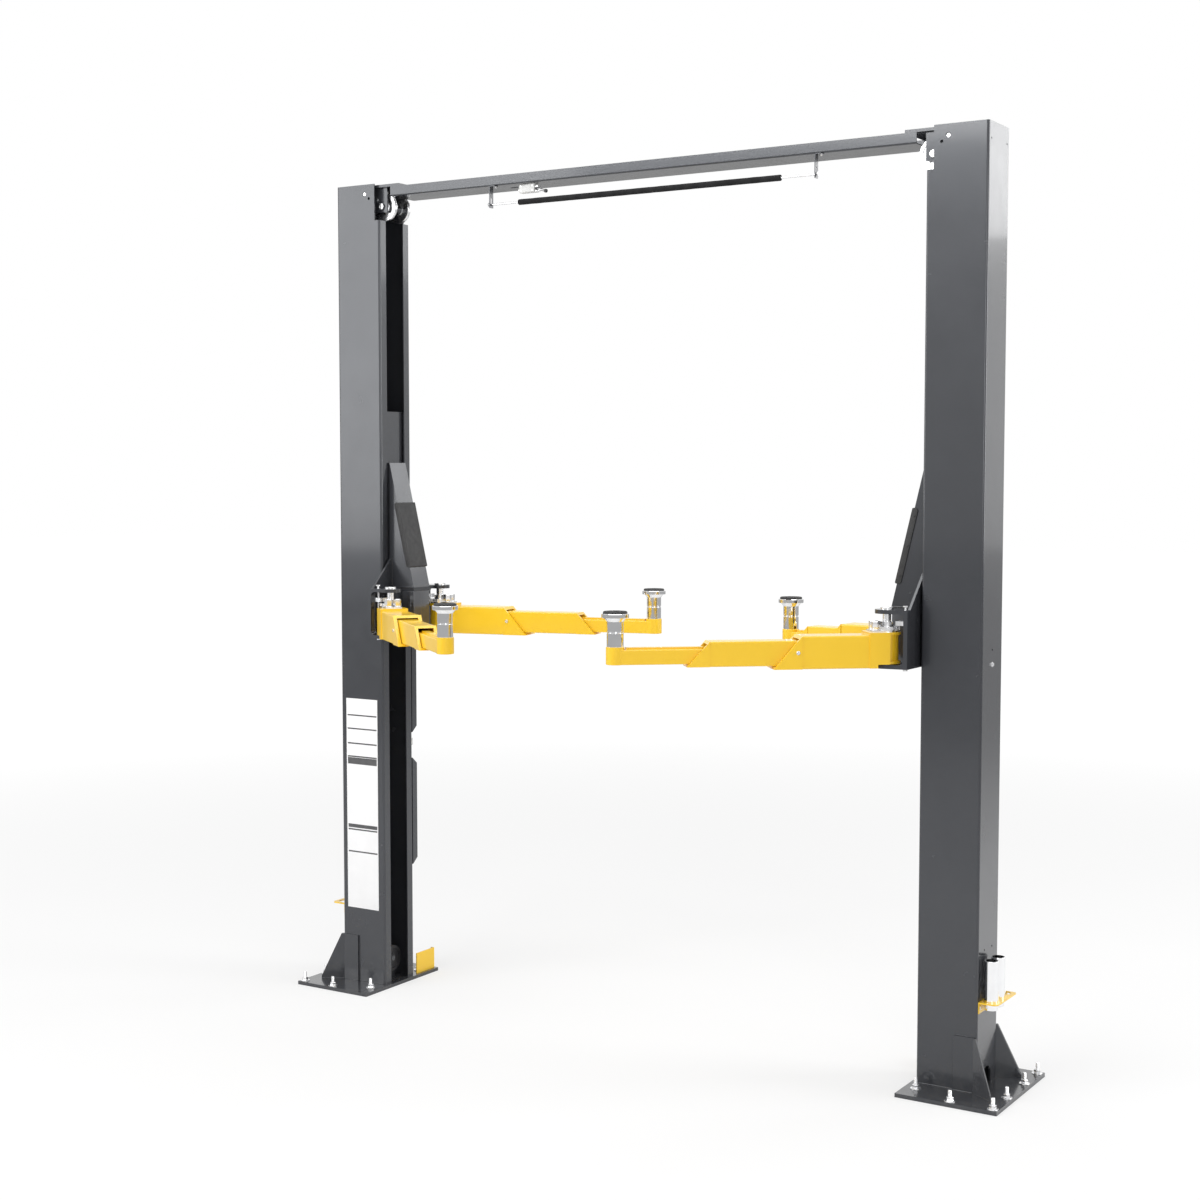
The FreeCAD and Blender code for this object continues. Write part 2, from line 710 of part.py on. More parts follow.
def limit_switch():
    x0, x1 = SWITCH_X
    y0, y1 = SWITCH_Y
    case = box(x0, x1, y0, y1, BEAM_BOTTOM - SWITCH_HEIGHT, BEAM_BOTTOM)
    case = case.makeFillet(SWITCH_BEND, straight_edges(case, UP, SWITCH_HEIGHT))
    lever_z = BEAM_BOTTOM - SWITCH_HEIGHT
    lever = box(x1 - LEVER_LAP, x1 + LEVER_LENGTH, y0 - LEVER_THICK, y0, lever_z, lever_z + LEVER_WIDTH)
    end = x1 + LEVER_LENGTH - ROLLER_R
    axis_z = lever_z + ROLLER_RISE
    roller = rod(ROLLER_R, (end, y0, axis_z), (end, y0 + ROLLER_LONG, axis_z))
    return fused(case, lever, roller)


# Carriages

def carriage():
    """A channel that opens toward the web, and the neck that leaves by the slot."""
    top = CARRIAGE_BOTTOM + CARRIAGE_HEIGHT
    x0 = CHANNEL_IN + CARRIAGE_SETBACK
    x1 = x0 + CARRIAGE_WALL
    back = CHANNEL_OUT - CARRIAGE_END_GAP
    front = box(x0, x1, -CARRIAGE_HALF, CARRIAGE_HALF, CARRIAGE_BOTTOM, top)
    inside = CARRIAGE_HALF - CARRIAGE_WALL
    sides = both_y(box(x0, back, inside, CARRIAGE_HALF, CARRIAGE_BOTTOM, top))
    ribs = []
    for rise in RIB_RISES:
        z = CARRIAGE_BOTTOM + rise
        ribs.append(box(x1, back, -inside, inside, z, z + NECK_WALL))
    neck = both_y(box(YOKE_OUT, x0, NECK_HALF - NECK_WALL, NECK_HALF, YOKE_BOTTOM, TOWER_TOP))
    return fused(front, *sides, *ribs, *neck)


def slide_blocks():
    """Four blocks that run on the column's side walls, web and lips."""
    top = CARRIAGE_BOTTOM + CARRIAGE_HEIGHT
    x0 = CHANNEL_IN + BLOCK_GAP
    x1 = CHANNEL_OUT - BLOCK_GAP
    y1 = CHANNEL_HALF - BLOCK_GAP
    blocks = []
    for z0 in (CARRIAGE_BOTTOM + BLOCK_INSET, top - BLOCK_INSET - BLOCK_LENGTH):
        block = box(x0, x1, CARRIAGE_HALF, y1, z0, z0 + BLOCK_LENGTH)
        wall_edges = [edge for edge in straight_edges(block, UP, BLOCK_LENGTH)
                      if abs(edge.Vertexes[0].Y - y1) < CLOSE]
        blocks += both_y(block.makeChamfer(BLOCK_CHAMFER, wall_edges))
    return blocks


def ear_outline():
    """One ear in plan: from the yoke's back plate round to the pivot."""
    return [(YOKE_OUT, YOKE_BOX_HALF), (YOKE_OUT, YOKE_HALF), (YOKE_OUT - YOKE_BACK - EAR_STEP, YOKE_HALF),
            (PIVOT_X, PIVOT_Y + EAR_R), (PIVOT_X - EAR_R, PIVOT_Y), (YOKE_FRONT, YOKE_BOX_HALF)]


def ear_bracket():
    """Upper and lower ear and back plate, rounded where they meet."""
    plan = floor_plate(ear_outline(), YOKE_BOTTOM, YOKE_TOP)
    plan = plan.fuse(rod(EAR_R, (PIVOT_X, PIVOT_Y, YOKE_BOTTOM), (PIVOT_X, PIVOT_Y, YOKE_TOP)))
    cavity = box(PIVOT_X - 2 * EAR_R, YOKE_OUT - YOKE_BACK, YOKE_BOX_HALF, YOKE_HALF + EAR_R,
                 YOKE_BOTTOM + EAR_THICK, YOKE_TOP - EAR_THICK)
    inner = [edge for edge in straight_edges(cavity, ALONG_Y, cavity.BoundBox.YLength)
             if abs(edge.Vertexes[0].X - cavity.BoundBox.XMax) < CLOSE]
    cavity = cavity.makeFillet(EAR_FILLET, inner)
    holes = [
        rod(PIN_R + PIN_CLEARANCE, (PIVOT_X, PIVOT_Y, YOKE_BOTTOM), (PIVOT_X, PIVOT_Y, YOKE_TOP)),
        rod(ROD_R + PIN_CLEARANCE, (ROD_X, ROD_Y, YOKE_BOTTOM), (ROD_X, ROD_Y, YOKE_TOP)),
    ]
    return plan.cut([cavity] + holes)


def tower_slope():
    return (YOKE_OUT - TOWER_FOOT) / (TOWER_TOP - YOKE_TOP)


def tower_edge(z):
    """X of the tower's slanted edge at a height."""
    return TOWER_FOOT + (z - YOKE_TOP) * tower_slope()


def tower():
    outline = [(TOWER_FOOT, YOKE_TOP), (YOKE_OUT, YOKE_TOP), (YOKE_OUT, TOWER_TOP)]
    sides = both_y(side_plate(outline, TOWER_HALF - TOWER_WALL, TOWER_HALF))
    lean = TOWER_WALL / cos(atan(tower_slope()))
    face = [(TOWER_FOOT, YOKE_TOP), (TOWER_FOOT + lean, YOKE_TOP),
            (YOKE_OUT, TOWER_TOP - lean / tower_slope()), (YOKE_OUT, TOWER_TOP)]
    return sides + [side_plate(face, -TOWER_HALF, TOWER_HALF)]


def yoke_gussets():
    x = YOKE_OUT - YOKE_GUSSET_THICK
    points = [(x, TOWER_HALF, YOKE_TOP), (x, TOWER_HALF + YOKE_GUSSET, YOKE_TOP),
              (x, TOWER_HALF, YOKE_TOP + YOKE_GUSSET)]
    return both_y(slab(points, Vector(YOKE_GUSSET_THICK, 0, 0)))


def yoke():
    """Box beam across the column's mouth, with an ear bracket at each end and the tower."""
    beam = box(YOKE_FRONT, YOKE_OUT, -YOKE_BOX_HALF, YOKE_BOX_HALF, YOKE_BOTTOM, YOKE_TOP)
    inside = box(YOKE_FRONT + NECK_WALL, YOKE_OUT - YOKE_BACK, -YOKE_BOX_HALF + NECK_WALL,
                 YOKE_BOX_HALF - NECK_WALL, YOKE_BOTTOM + EAR_THICK, YOKE_TOP - EAR_THICK)
    foot = box(TOWER_FOOT, YOKE_FRONT, -TOWER_HALF, TOWER_HALF, YOKE_TOP - EAR_THICK, YOKE_TOP)
    pieces = both_y(ear_bracket()) + tower() + yoke_gussets()
    return fused(beam.cut(inside), foot, *pieces)


def on_pad_back(edge):
    """Whether an edge lies where the pad's sides end on the tower."""
    point = edge.Vertexes[0].Point
    return abs(point.x - tower_edge(point.z) - DOOR_PAD_WRAP) < CLOSE


def on_pad_front(edge):
    point = edge.Vertexes[0].Point
    corner = any(abs(point.z - YOKE_TOP - rise) < CLOSE for rise in DOOR_PAD_RISES)
    return corner and abs(point.x - tower_edge(point.z) + DOOR_PAD_FRONT) < CLOSE


def door_pad():
    """A rubber channel that wraps the tower's slanted edge."""
    low, high = [YOKE_TOP + rise for rise in DOOR_PAD_RISES]
    outline = [(tower_edge(low) - DOOR_PAD_FRONT, low), (tower_edge(low) + DOOR_PAD_WRAP, low),
               (tower_edge(high) + DOOR_PAD_WRAP, high), (tower_edge(high) - DOOR_PAD_FRONT, high)]
    half = TOWER_HALF + DOOR_PAD_SIDE
    pad = side_plate(outline, -half, half)
    cross = straight_edges(pad, ALONG_Y, 2 * half)
    wrap_side = [edge for edge in cross if on_pad_back(edge)]
    pad = pad.makeFillet(DOOR_PAD_ROUND, wrap_side)
    front = [edge for edge in straight_edges(pad, ALONG_Y, 2 * half) if on_pad_front(edge)]
    pad = pad.makeFillet(DOOR_PAD_CORNER, front)
    solid_tower = [(TOWER_FOOT, YOKE_TOP), (YOKE_OUT, YOKE_TOP), (YOKE_OUT, TOWER_TOP)]
    return pad.cut(side_plate(solid_tower, -TOWER_HALF, TOWER_HALF))


def arm_pin():
    """A pin through both ears, with a chamfered head."""
    low = YOKE_BOTTOM - PIN_BELOW
    top = YOKE_TOP + PIN_HEAD
    shape = turned([
        (0, low), (PIN_R - PIN_EDGE, low), (PIN_R, low + PIN_EDGE), (PIN_R, YOKE_TOP),
        (PIN_HEAD_R, YOKE_TOP), (PIN_HEAD_R, top - PIN_EDGE), (PIN_HEAD_R - PIN_EDGE, top), (0, top),
    ])
    shape.translate(Vector(PIVOT_X, PIVOT_Y, 0))
    return shape


def restraint_pawl():
    """A toothed block on its pull rod, held up clear of the gear."""
    z0 = FLANGE_TOP + GEAR_THICK + PAWL_LIFT
    z1 = z0 + PAWL_THICK
    low = YOKE_BOTTOM - ROD_BELOW
    high = YOKE_TOP + ROD_ABOVE
    shaft = rod(ROD_R, (ROD_X, ROD_Y, low), (ROD_X, ROD_Y, high))
    knob = rod(KNOB_R, (ROD_X, ROD_Y, high), (ROD_X, ROD_Y, high + KNOB))
    stop = rod(ROD_STOP_R, (ROD_X, ROD_Y, low), (ROD_X, ROD_Y, YOKE_BOTTOM - ROD_STOP_GAP))
    block = box(PIVOT_X + GEAR_ROOT, ROD_X + ROD_R + PAWL_MARGIN, ROD_Y - PAWL_SPREAD, ROD_Y + PAWL_SPREAD,
                z0, z1)
    gap = rod(GEAR_ROOT + PAST, (PIVOT_X, PIVOT_Y, z0), (PIVOT_X, PIVOT_Y, z1))
    return fused(shaft, knob, stop, block.cut(gap).cut(teeth_ring(z0, z1)))


def tooth_outline(angle):
    """One gear tooth in plan, centred on an angle in degrees."""
    pitch = 360 / GEAR_TEETH
    foot = pitch * TOOTH_FOOT
    tip = pitch * TOOTH_TIP
    sunk = GEAR_ROOT - TOOTH_SINK
    points = []
    for radius, turn in ((sunk, -foot), (GEAR_R, -tip), (GEAR_R, tip), (sunk, foot)):
        points.append((radius * cos(radians(angle + turn)), radius * sin(radians(angle + turn))))
    return points


def teeth_ring(z0, z1):
    """The gear's teeth about the pivot, as the pawl's cutter."""
    teeth = []
    for step in range(-PAWL_TEETH, PAWL_TEETH + 1):
        outline = tooth_outline(step * 360 / GEAR_TEETH)
        moved = [(PIVOT_X + x, PIVOT_Y + y) for x, y in outline]
        teeth.append(floor_plate(moved, z0, z1))
    return Part.makeCompound(teeth)


# Arms, drawn along +X with the pivot at the origin

def round_bar(start, end, half, bottom, height, bend):
    """A square bar along X with its four long edges rounded."""
    bar = box(start, end, -half, half, bottom, bottom + height)
    return bar.makeFillet(bend, straight_edges(bar, ALONG_X, end - start))


def slanted_tube(start, seam, tip, half, bottom, height, wall, bend):
    """A square tube whose end leans, so that the bottom reaches further than the top."""
    bar = round_bar(start, tip, half, bottom, height, bend)
    beyond = side_plate([(seam, bottom + height), (tip, bottom), (tip, bottom + height)], -half, half)
    hollow = box(start, tip, -half + wall, half - wall, bottom + wall, bottom + height - wall)
    return bar.cut([beyond, hollow])


def end_cheeks(seam, tip, half, bottom, height, bend, proud):
    """Doubler plates on both sides of a slanted end."""
    outline = [(seam, bottom), (tip, bottom), (seam, bottom + height)]
    return both_y(side_plate(outline, half - bend, half + proud))


def root_plan(end):
    """The outline in plan of the plates at the arm's pivot end."""
    wide = ARM_HALF + ARM_PROUD
    start = ARM_BLOCK[0]
    return [(start, -wide), (end, -wide), (end, wide), (start, wide)]


def arm_root():
    """Side blocks, flanges and the pivot barrel, stepped up to clear the lower ear."""
    start, end = ARM_BLOCK
    outline = [(start, ROOT_BOTTOM), (ROOT_LENGTH, ROOT_BOTTOM), (ROOT_LENGTH, ARM_BOTTOM),
               (end, ARM_BOTTOM), (end, ARM_TOP), (start, ARM_TOP)]
    blocks = both_y(side_plate(outline, ARM_HALF - ARM_WALL, ARM_HALF + ARM_PROUD))
    barrel = rod(BARREL_R, (0, 0, ROOT_BOTTOM), (0, 0, FLANGE_TOP))
    lower = [
        floor_plate(root_plan(ROOT_LENGTH), ROOT_BOTTOM, ROOT_BOTTOM + FLANGE_THICK),
        rod(FLANGE_R, (0, 0, ROOT_BOTTOM), (0, 0, ROOT_BOTTOM + FLANGE_THICK)),
    ]
    upper = [
        floor_plate(root_plan(end), ARM_TOP, FLANGE_TOP),
        rod(FLANGE_R, (0, 0, ARM_TOP), (0, 0, FLANGE_TOP)),
    ]
    bulkhead = box(ROOT_LENGTH, ROOT_LENGTH + ROOT_WALL, -ARM_HALF, ARM_HALF, ARM_BOTTOM, ARM_TOP)
    deck = box(start, end, -ARM_HALF, ARM_HALF, ARM_TOP - FLANGE_THICK, ARM_TOP)
    return blocks + lower + upper + [barrel, bulkhead, deck]


def outer_arm():
    tube = slanted_tube(ROOT_LENGTH, ARM_SEAM, ARM_TIP, ARM_HALF, ARM_BOTTOM, ARM_HEIGHT, ARM_WALL, ARM_BEND)
    cheeks = end_cheeks(ARM_SEAM, ARM_TIP, ARM_HALF, ARM_BOTTOM, ARM_HEIGHT, ARM_BEND, ARM_PROUD)
    bore = rod(PIN_R + PIN_CLEARANCE, (0, 0, ROOT_BOTTOM), (0, 0, FLANGE_TOP))
    return fused(tube, *arm_root(), *cheeks).cut(bore)


def middle_arm():
    tube = slanted_tube(MIDDLE_START, MIDDLE_SEAM, MIDDLE_TIP, MIDDLE_HALF, MIDDLE_BOTTOM,
                        MIDDLE_HEIGHT, MIDDLE_WALL, MIDDLE_BEND)
    cheeks = end_cheeks(MIDDLE_SEAM, MIDDLE_TIP, MIDDLE_HALF, MIDDLE_BOTTOM, MIDDLE_HEIGHT,
                        MIDDLE_BEND, MIDDLE_PROUD)
    return fused(tube, *cheeks)


def nose():
    """A chamfered collar that carries the adapter."""
    edge = NOSE_EDGE
    shape = turned([
        (ADAPTER_BORE_R, INNER_BOTTOM), (NOSE_R - edge, INNER_BOTTOM), (NOSE_R, INNER_BOTTOM + edge),
        (NOSE_R, NOSE_TOP - edge), (NOSE_R - edge, NOSE_TOP), (ADAPTER_BORE_R, NOSE_TOP),
    ])
    shape.translate(Vector(NOSE_CENTRE, 0, 0))
    return shape


def inner_arm():
    top = INNER_BOTTOM + INNER_HEIGHT
    tube = round_bar(INNER_START, NOSE_CENTRE, INNER_HALF, INNER_BOTTOM, INNER_HEIGHT, INNER_BEND)
    hollow = box(INNER_START, NOSE_CENTRE - NOSE_R, -INNER_HALF + INNER_SIDE_WALL,
                 INNER_HALF - INNER_SIDE_WALL, INNER_BOTTOM + INNER_WALL, top - INNER_WALL)
    bore = rod(ADAPTER_BORE_R, (NOSE_CENTRE, 0, INNER_BOTTOM), (NOSE_CENTRE, 0, NOSE_TOP))
    start, end = INNER_STRIP
    half_strip = INNER_STRIP_WIDTH / 2
    strip = box(start, end, -half_strip, half_strip, top, top + INNER_STRIP_THICK)
    return fused(tube.cut([hollow, bore]), strip, nose())


def restraint_gear():
    """A toothed ring and hub about the pin, on a plate bolted to the arm's flange."""
    z0 = FLANGE_TOP
    base = rod(GEAR_ROOT, (0, 0, z0), (0, 0, z0 + GEAR_THICK))
    hub = rod(GEAR_HUB_R, (0, 0, z0), (0, 0, z0 + GEAR_HUB))
    tongue = box(0, ARM_BLOCK[1] - TONGUE_BACK, -TONGUE_HALF, TONGUE_HALF, z0, z0 + GEAR_BASE)
    first, last = GEAR_SPAN
    teeth = []
    for step in range(GEAR_TEETH):
        angle = step * 360 / GEAR_TEETH
        if first <= angle <= last:
            teeth.append(floor_plate(tooth_outline(angle), z0 + GEAR_BASE, z0 + GEAR_THICK))
    bore = rod(PIN_R + PIN_CLEARANCE, (0, 0, z0), (0, 0, z0 + GEAR_HUB))
    return fused(base, hub, tongue, *teeth).cut(bore)


def cup_top():
    return NOSE_TOP + ADAPTER_COLLAR + ADAPTER_CUP


def lift_adapter():
    """A spigot in the nose, a grooved stack tube on its collar and a flared cup for the pad."""
    low = INNER_BOTTOM + ADAPTER_INSET
    stack_top = NOSE_TOP + ADAPTER_COLLAR
    middle = NOSE_TOP + ADAPTER_COLLAR / 2
    seat = cup_top() - TOP_PAD_DEPTH
    edge = ADAPTER_EDGE
    groove = ADAPTER_GROOVE
    shape = turned([
        (0, low), (ADAPTER_SPIGOT_R - edge, low), (ADAPTER_SPIGOT_R, low + edge),
        (ADAPTER_SPIGOT_R, NOSE_TOP), (ADAPTER_COLLAR_R, NOSE_TOP),
        (ADAPTER_COLLAR_R, middle - 2 * groove), (ADAPTER_COLLAR_R - groove, middle - groove),
        (ADAPTER_COLLAR_R - groove, middle + groove), (ADAPTER_COLLAR_R, middle + 2 * groove),
        (ADAPTER_COLLAR_R, stack_top - ADAPTER_FLARE), (ADAPTER_NECK_R, stack_top),
        (ADAPTER_CUP_R - edge, stack_top), (ADAPTER_CUP_R, stack_top + edge),
        (ADAPTER_CUP_R, cup_top() - edge), (ADAPTER_CUP_R - edge, cup_top()),
        (TOP_PAD_R, cup_top()), (TOP_PAD_R, seat), (0, seat),
    ])
    shape.translate(Vector(NOSE_CENTRE, 0, 0))
    return shape


def adapter_pad():
    floor_z = cup_top() - TOP_PAD_DEPTH
    pad = rod(TOP_PAD_R, (NOSE_CENTRE, 0, floor_z), (NOSE_CENTRE, 0, floor_z + TOP_PAD_HEIGHT))
    top = [edge for edge in pad.Edges if edge.BoundBox.ZMin > floor_z + TOP_PAD_HEIGHT - CLOSE]
    return pad.makeChamfer(TOP_PAD_EDGE, top)


def placed(shape, arm, travel):
    """Move an arm's piece from the drawing to its pivot, slid out by the travel."""
    side, end, angle, out = ARMS[arm]
    heading = 180 + angle if end < 0 else 180 - angle
    if side < 0:
        heading = 180 - heading
    shape = shape.copy()
    if side * end > 0:
        shape = mirrored(shape, ALONG_Y)
    shape.translate(Vector(travel * out, 0, 0))
    shape.rotate(ORIGIN, UP, heading)
    shape.translate(Vector(side * PIVOT_X, end * PIVOT_Y, 0))
    return shape


# Every node

os.makedirs("parts", exist_ok=True)

export_pair("column", column())
export_pair("base_plate", base_plate())
export("base_gussets", *both_columns(*base_gussets()))
export("toe_guards", *both_columns(toe_guard()))
export("adapter_racks", *both_columns(adapter_rack()))
export("spare_adapters", *[spare_adapter(x, y) for x, y in notch_centres()[:2]])
export("latch_covers", *both_columns(latch_cover(*LATCH_LOW), latch_cover(*LATCH_HIGH)))

export("overhead_beam", overhead_beam())
export("beam_end_caps", *both_columns(beam_cap()))
export("sheave_brackets", *both_columns(sheave_bracket()))
export("top_sheaves", *both_columns(*head_sheaves()))
export("floor_sheaves", *both_columns(foot_sheave()))
export("floor_sheave_brackets", *both_columns(foot_bracket()))

export("bar_hangers", *[bar_hanger(x) for x in HANGER_X])
export("shutoff_bar", shutoff_bar())
export("shutoff_pad", shutoff_pad())
export("limit_switch", limit_switch())

export_pair("carriage", carriage())
export_pair("yoke", yoke())
export_pair("door_pad", door_pad())
export("right_slide_blocks", *slide_blocks())
export("left_slide_blocks", *[mirrored(block, ALONG_X) for block in slide_blocks()])
pins = both_y(arm_pin()) + both_y(restraint_pawl())
export("right_arm_pins", *pins[:2])
export("left_arm_pins", *[mirrored(pin, ALONG_X) for pin in pins[:2]])
export("right_restraint_pawls", *pins[2:])
export("left_restraint_pawls", *[mirrored(pawl, ALONG_X) for pawl in pins[2:]])

for name in ARMS:
    export(name + "_outer_arm", placed(outer_arm(), name, 0))
    export(name + "_restraint_gear", placed(restraint_gear(), name, 0))
    export(name + "_middle_arm", placed(middle_arm(), name, MIDDLE_TRAVEL))
    export(name + "_inner_arm", placed(inner_arm(), name, MIDDLE_TRAVEL + INNER_TRAVEL))
    export(name + "_lift_adapter", placed(lift_adapter(), name, MIDDLE_TRAVEL + INNER_TRAVEL))
    export(name + "_adapter_pad", placed(adapter_pad(), name, MIDDLE_TRAVEL + INNER_TRAVEL))
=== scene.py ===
import json
import math

import bpy
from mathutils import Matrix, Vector

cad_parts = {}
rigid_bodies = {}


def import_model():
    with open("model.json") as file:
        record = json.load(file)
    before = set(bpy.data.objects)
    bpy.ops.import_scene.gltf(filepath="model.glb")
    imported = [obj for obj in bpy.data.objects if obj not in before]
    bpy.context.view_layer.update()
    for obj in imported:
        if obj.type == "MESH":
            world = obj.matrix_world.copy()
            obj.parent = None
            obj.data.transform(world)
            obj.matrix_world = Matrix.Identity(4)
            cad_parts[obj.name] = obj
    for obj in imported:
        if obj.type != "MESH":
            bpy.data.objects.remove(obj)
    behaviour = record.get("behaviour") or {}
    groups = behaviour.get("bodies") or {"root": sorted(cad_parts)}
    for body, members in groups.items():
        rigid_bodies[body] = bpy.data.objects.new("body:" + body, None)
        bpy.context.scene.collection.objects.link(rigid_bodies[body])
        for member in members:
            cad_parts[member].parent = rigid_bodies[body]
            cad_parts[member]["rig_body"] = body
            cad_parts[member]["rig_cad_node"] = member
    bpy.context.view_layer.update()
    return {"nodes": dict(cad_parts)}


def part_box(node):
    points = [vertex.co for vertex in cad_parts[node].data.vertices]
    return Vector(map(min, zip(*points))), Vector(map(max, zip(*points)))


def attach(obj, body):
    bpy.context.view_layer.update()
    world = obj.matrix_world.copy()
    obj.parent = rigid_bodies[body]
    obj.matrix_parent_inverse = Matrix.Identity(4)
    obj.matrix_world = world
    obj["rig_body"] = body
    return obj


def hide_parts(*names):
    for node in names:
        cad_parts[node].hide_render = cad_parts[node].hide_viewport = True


# Two post lift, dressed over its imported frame. Metres, +Z up.

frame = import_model()
bpy.ops.object.select_all(action="DESELECT")

MM = 0.001

# Modelling values
MERGE_DISTANCE = 0.02 * MM
FLAT_ANGLE = 2
SHARP_ANGLE = 35
BEAD_ANGLE = 60

# Places read from the frame
COLUMN_LOW, COLUMN_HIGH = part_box("right_column")
PLATE_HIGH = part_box("right_base_plate")[1]
PLATE_TOP = PLATE_HIGH.z
BEAM_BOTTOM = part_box("overhead_beam")[0].z
CAP_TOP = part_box("beam_end_caps")[1].z
SLEEVE_LOW, SLEEVE_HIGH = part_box("shutoff_pad")
BAR_LOW, BAR_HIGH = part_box("shutoff_bar")
HANGER_LOW, HANGER_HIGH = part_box("bar_hangers")
SWITCH_LOW, SWITCH_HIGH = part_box("limit_switch")
INNER_FACE = COLUMN_LOW.x
OUTER_FACE = COLUMN_HIGH.x
HALF_WIDTH = COLUMN_HIGH.y
COLUMN_TOP = COLUMN_HIGH.z
BAR_Y = (SLEEVE_LOW.y + SLEEVE_HIGH.y) / 2
BAR_Z = (SLEEVE_LOW.z + SLEEVE_HIGH.z) / 2

# The camera that took the photo
CAMERA_PLACE = (4.8506, -8.1326, 2.8382)
CAMERA_YAW = -32.073
CAMERA_PITCH = -3.846
CAMERA_LENS = 56.13
CAMERA_SENSOR = 36

# Anchor bolts, three quarter inch
ANCHOR_EDGE = 28 * MM
ANCHOR_NEAR = 118 * MM
ANCHOR_MID_INSET = 230 * MM
ANCHOR_FRONT_IN = 35 * MM
ANCHOR_FRONT_Y = 214 * MM
WASHER_R = 25.5 * MM
WASHER_THICK = 4 * MM
NUT_R = 16.5 * MM
NUT_HEIGHT = 17 * MM
STUD_R = 9.5 * MM
STUD_ABOVE = 53 * MM
STUD_SIDES = 14
THREAD_PITCH = 3.2 * MM
THREAD_ROOT = 0.86
ANCHOR_TURN = 17

# Shares of a fastener's radius or height, and sides of what is round
NUT_LOW_R = 0.9
NUT_HIGH_R = 0.86
NUT_CHAMFER = 0.13
WASHER_EDGE = 0.25
WASHER_SIDES = 28
HEAD_WASHER_R = 1.35
HEAD_WASHER_THICK = 0.3
SCREW_SHOULDER = 0.8
SCREW_TOP_R = 0.86
SCREW_SIDES = 24
POCKET_R = 0.5
POCKET_FLOOR = 0.45
POCKET_REACH = 1.5
WIRE_SIDES = 8
COIL_STEPS = 18

# Arms: column side, end, and angle from straight in
ARMS = {
    "front_right": (1, -1, 39.7),
    "rear_right": (1, 1, 5.0),
    "front_left": (-1, -1, 39.7),
    "rear_left": (-1, 1, 12.8),
}
PIVOT_X = 1438 * MM
PIVOT_Y = 220 * MM
YOKE_BOTTOM = 1955 * MM
YOKE_TOP = 2224 * MM
YOKE_FRONT = 1480 * MM
FLANGE_TOP = 2122 * MM
CHEEK_SIDE = 74.5 * MM

# Turns of a piece drawn upright along +Z
UPWARD = (0, 0, 0)
DOWNWARD = (math.radians(180), 0, 0)
FRONTWARD = (math.radians(90), 0, 0)
REARWARD = (math.radians(-90), 0, 0)
RIGHTWARD = (0, math.radians(90), 0)
LEFTWARD = (0, math.radians(-90), 0)


# Modelling tools

def only(piece):
    """Make this the one selected piece."""
    bpy.ops.object.select_all(action="DESELECT")
    piece.select_set(True)
    bpy.context.view_layer.objects.active = piece
    return piece


def outward(piece):
    """Merge doubled points and turn all faces outward."""
    only(piece)
    bpy.ops.object.mode_set(mode="EDIT")
    bpy.ops.mesh.select_all(action="SELECT")
    bpy.ops.mesh.remove_doubles(threshold=MERGE_DISTANCE)
    bpy.ops.mesh.normals_make_consistent(inside=False)
    bpy.ops.object.mode_set(mode="OBJECT")
    return piece


def turned(name, profile, sides=32):
    """Lathe work on Z: a disc pushed up and resized through (radius, height) rings."""
    radius, height = profile[0]
    bpy.ops.mesh.primitive_circle_add(vertices=sides, radius=radius, fill_type="NGON", enter_editmode=True)
    piece = bpy.context.object
    piece.name = name
    bpy.ops.mesh.select_mode(type="FACE")
    bpy.ops.mesh.select_all(action="SELECT")
    bpy.ops.transform.translate(value=(0, 0, height))
    for next_radius, next_height in profile[1:]:
        bpy.ops.mesh.extrude_region_move(TRANSFORM_OT_translate={"value": (0, 0, next_height - height)})
        share = next_radius / radius
        bpy.ops.transform.resize(value=(share, share, 1))
        radius, height = next_radius, next_height
    bpy.ops.object.mode_set(mode="OBJECT")
    return outward(piece)


def bar_box(name, low, high):
    """A block between two corners."""
    low, high = Vector(low), Vector(high)
    bpy.ops.mesh.primitive_cube_add(size=1, location=(low + high) / 2)
    piece = bpy.context.object
    piece.name = name
    piece.scale = high - low
    bpy.ops.object.transform_apply(location=True, rotation=True, scale=True)
    return piece


def pick_faces(piece, test):
    """Enter edit mode with only the faces selected whose centre and normal pass the test."""
    only(piece)
    bpy.context.tool_settings.mesh_select_mode = (False, False, True)
    bpy.ops.object.mode_set(mode="EDIT")
    bpy.ops.mesh.select_all(action="DESELECT")
    bpy.ops.object.mode_set(mode="OBJECT")
    for face in piece.data.polygons:
        face.select = bool(test(face.center, face.normal))
    bpy.ops.object.mode_set(mode="EDIT")


def rounded(piece, width, segments=2, angle=SHARP_ANGLE):
    """Round the piece's sharp edges with an applied bevel."""
    only(piece)
    bevel = piece.modifiers.new("rounding", "BEVEL")
    bevel.width = width
    bevel.segments = segments
    bevel.limit_method = "ANGLE"
    bevel.angle_limit = math.radians(angle)
    bpy.ops.object.modifier_apply(modifier=bevel.name)
    return piece


def smooth(piece, angle=SHARP_ANGLE):
    """Shade smooth up to an angle between faces."""
    only(piece)
    bpy.ops.object.shade_smooth_by_angle(angle=math.radians(angle))
    return piece


def copied(piece, place, turn=(0, 0, 0)):
    """A copy with its own mesh, turned and then moved to its place."""
    twin = piece.copy()
    twin.data = piece.data.copy()
    bpy.context.scene.collection.objects.link(twin)
    twin.location = place
    twin.rotation_euler = turn
    only(twin)
    bpy.ops.object.transform_apply(location=True, rotation=True, scale=True)
    return twin


def discard(piece):
    """Remove a piece that only served as a pattern."""
    bpy.data.objects.remove(piece, do_unlink=True)


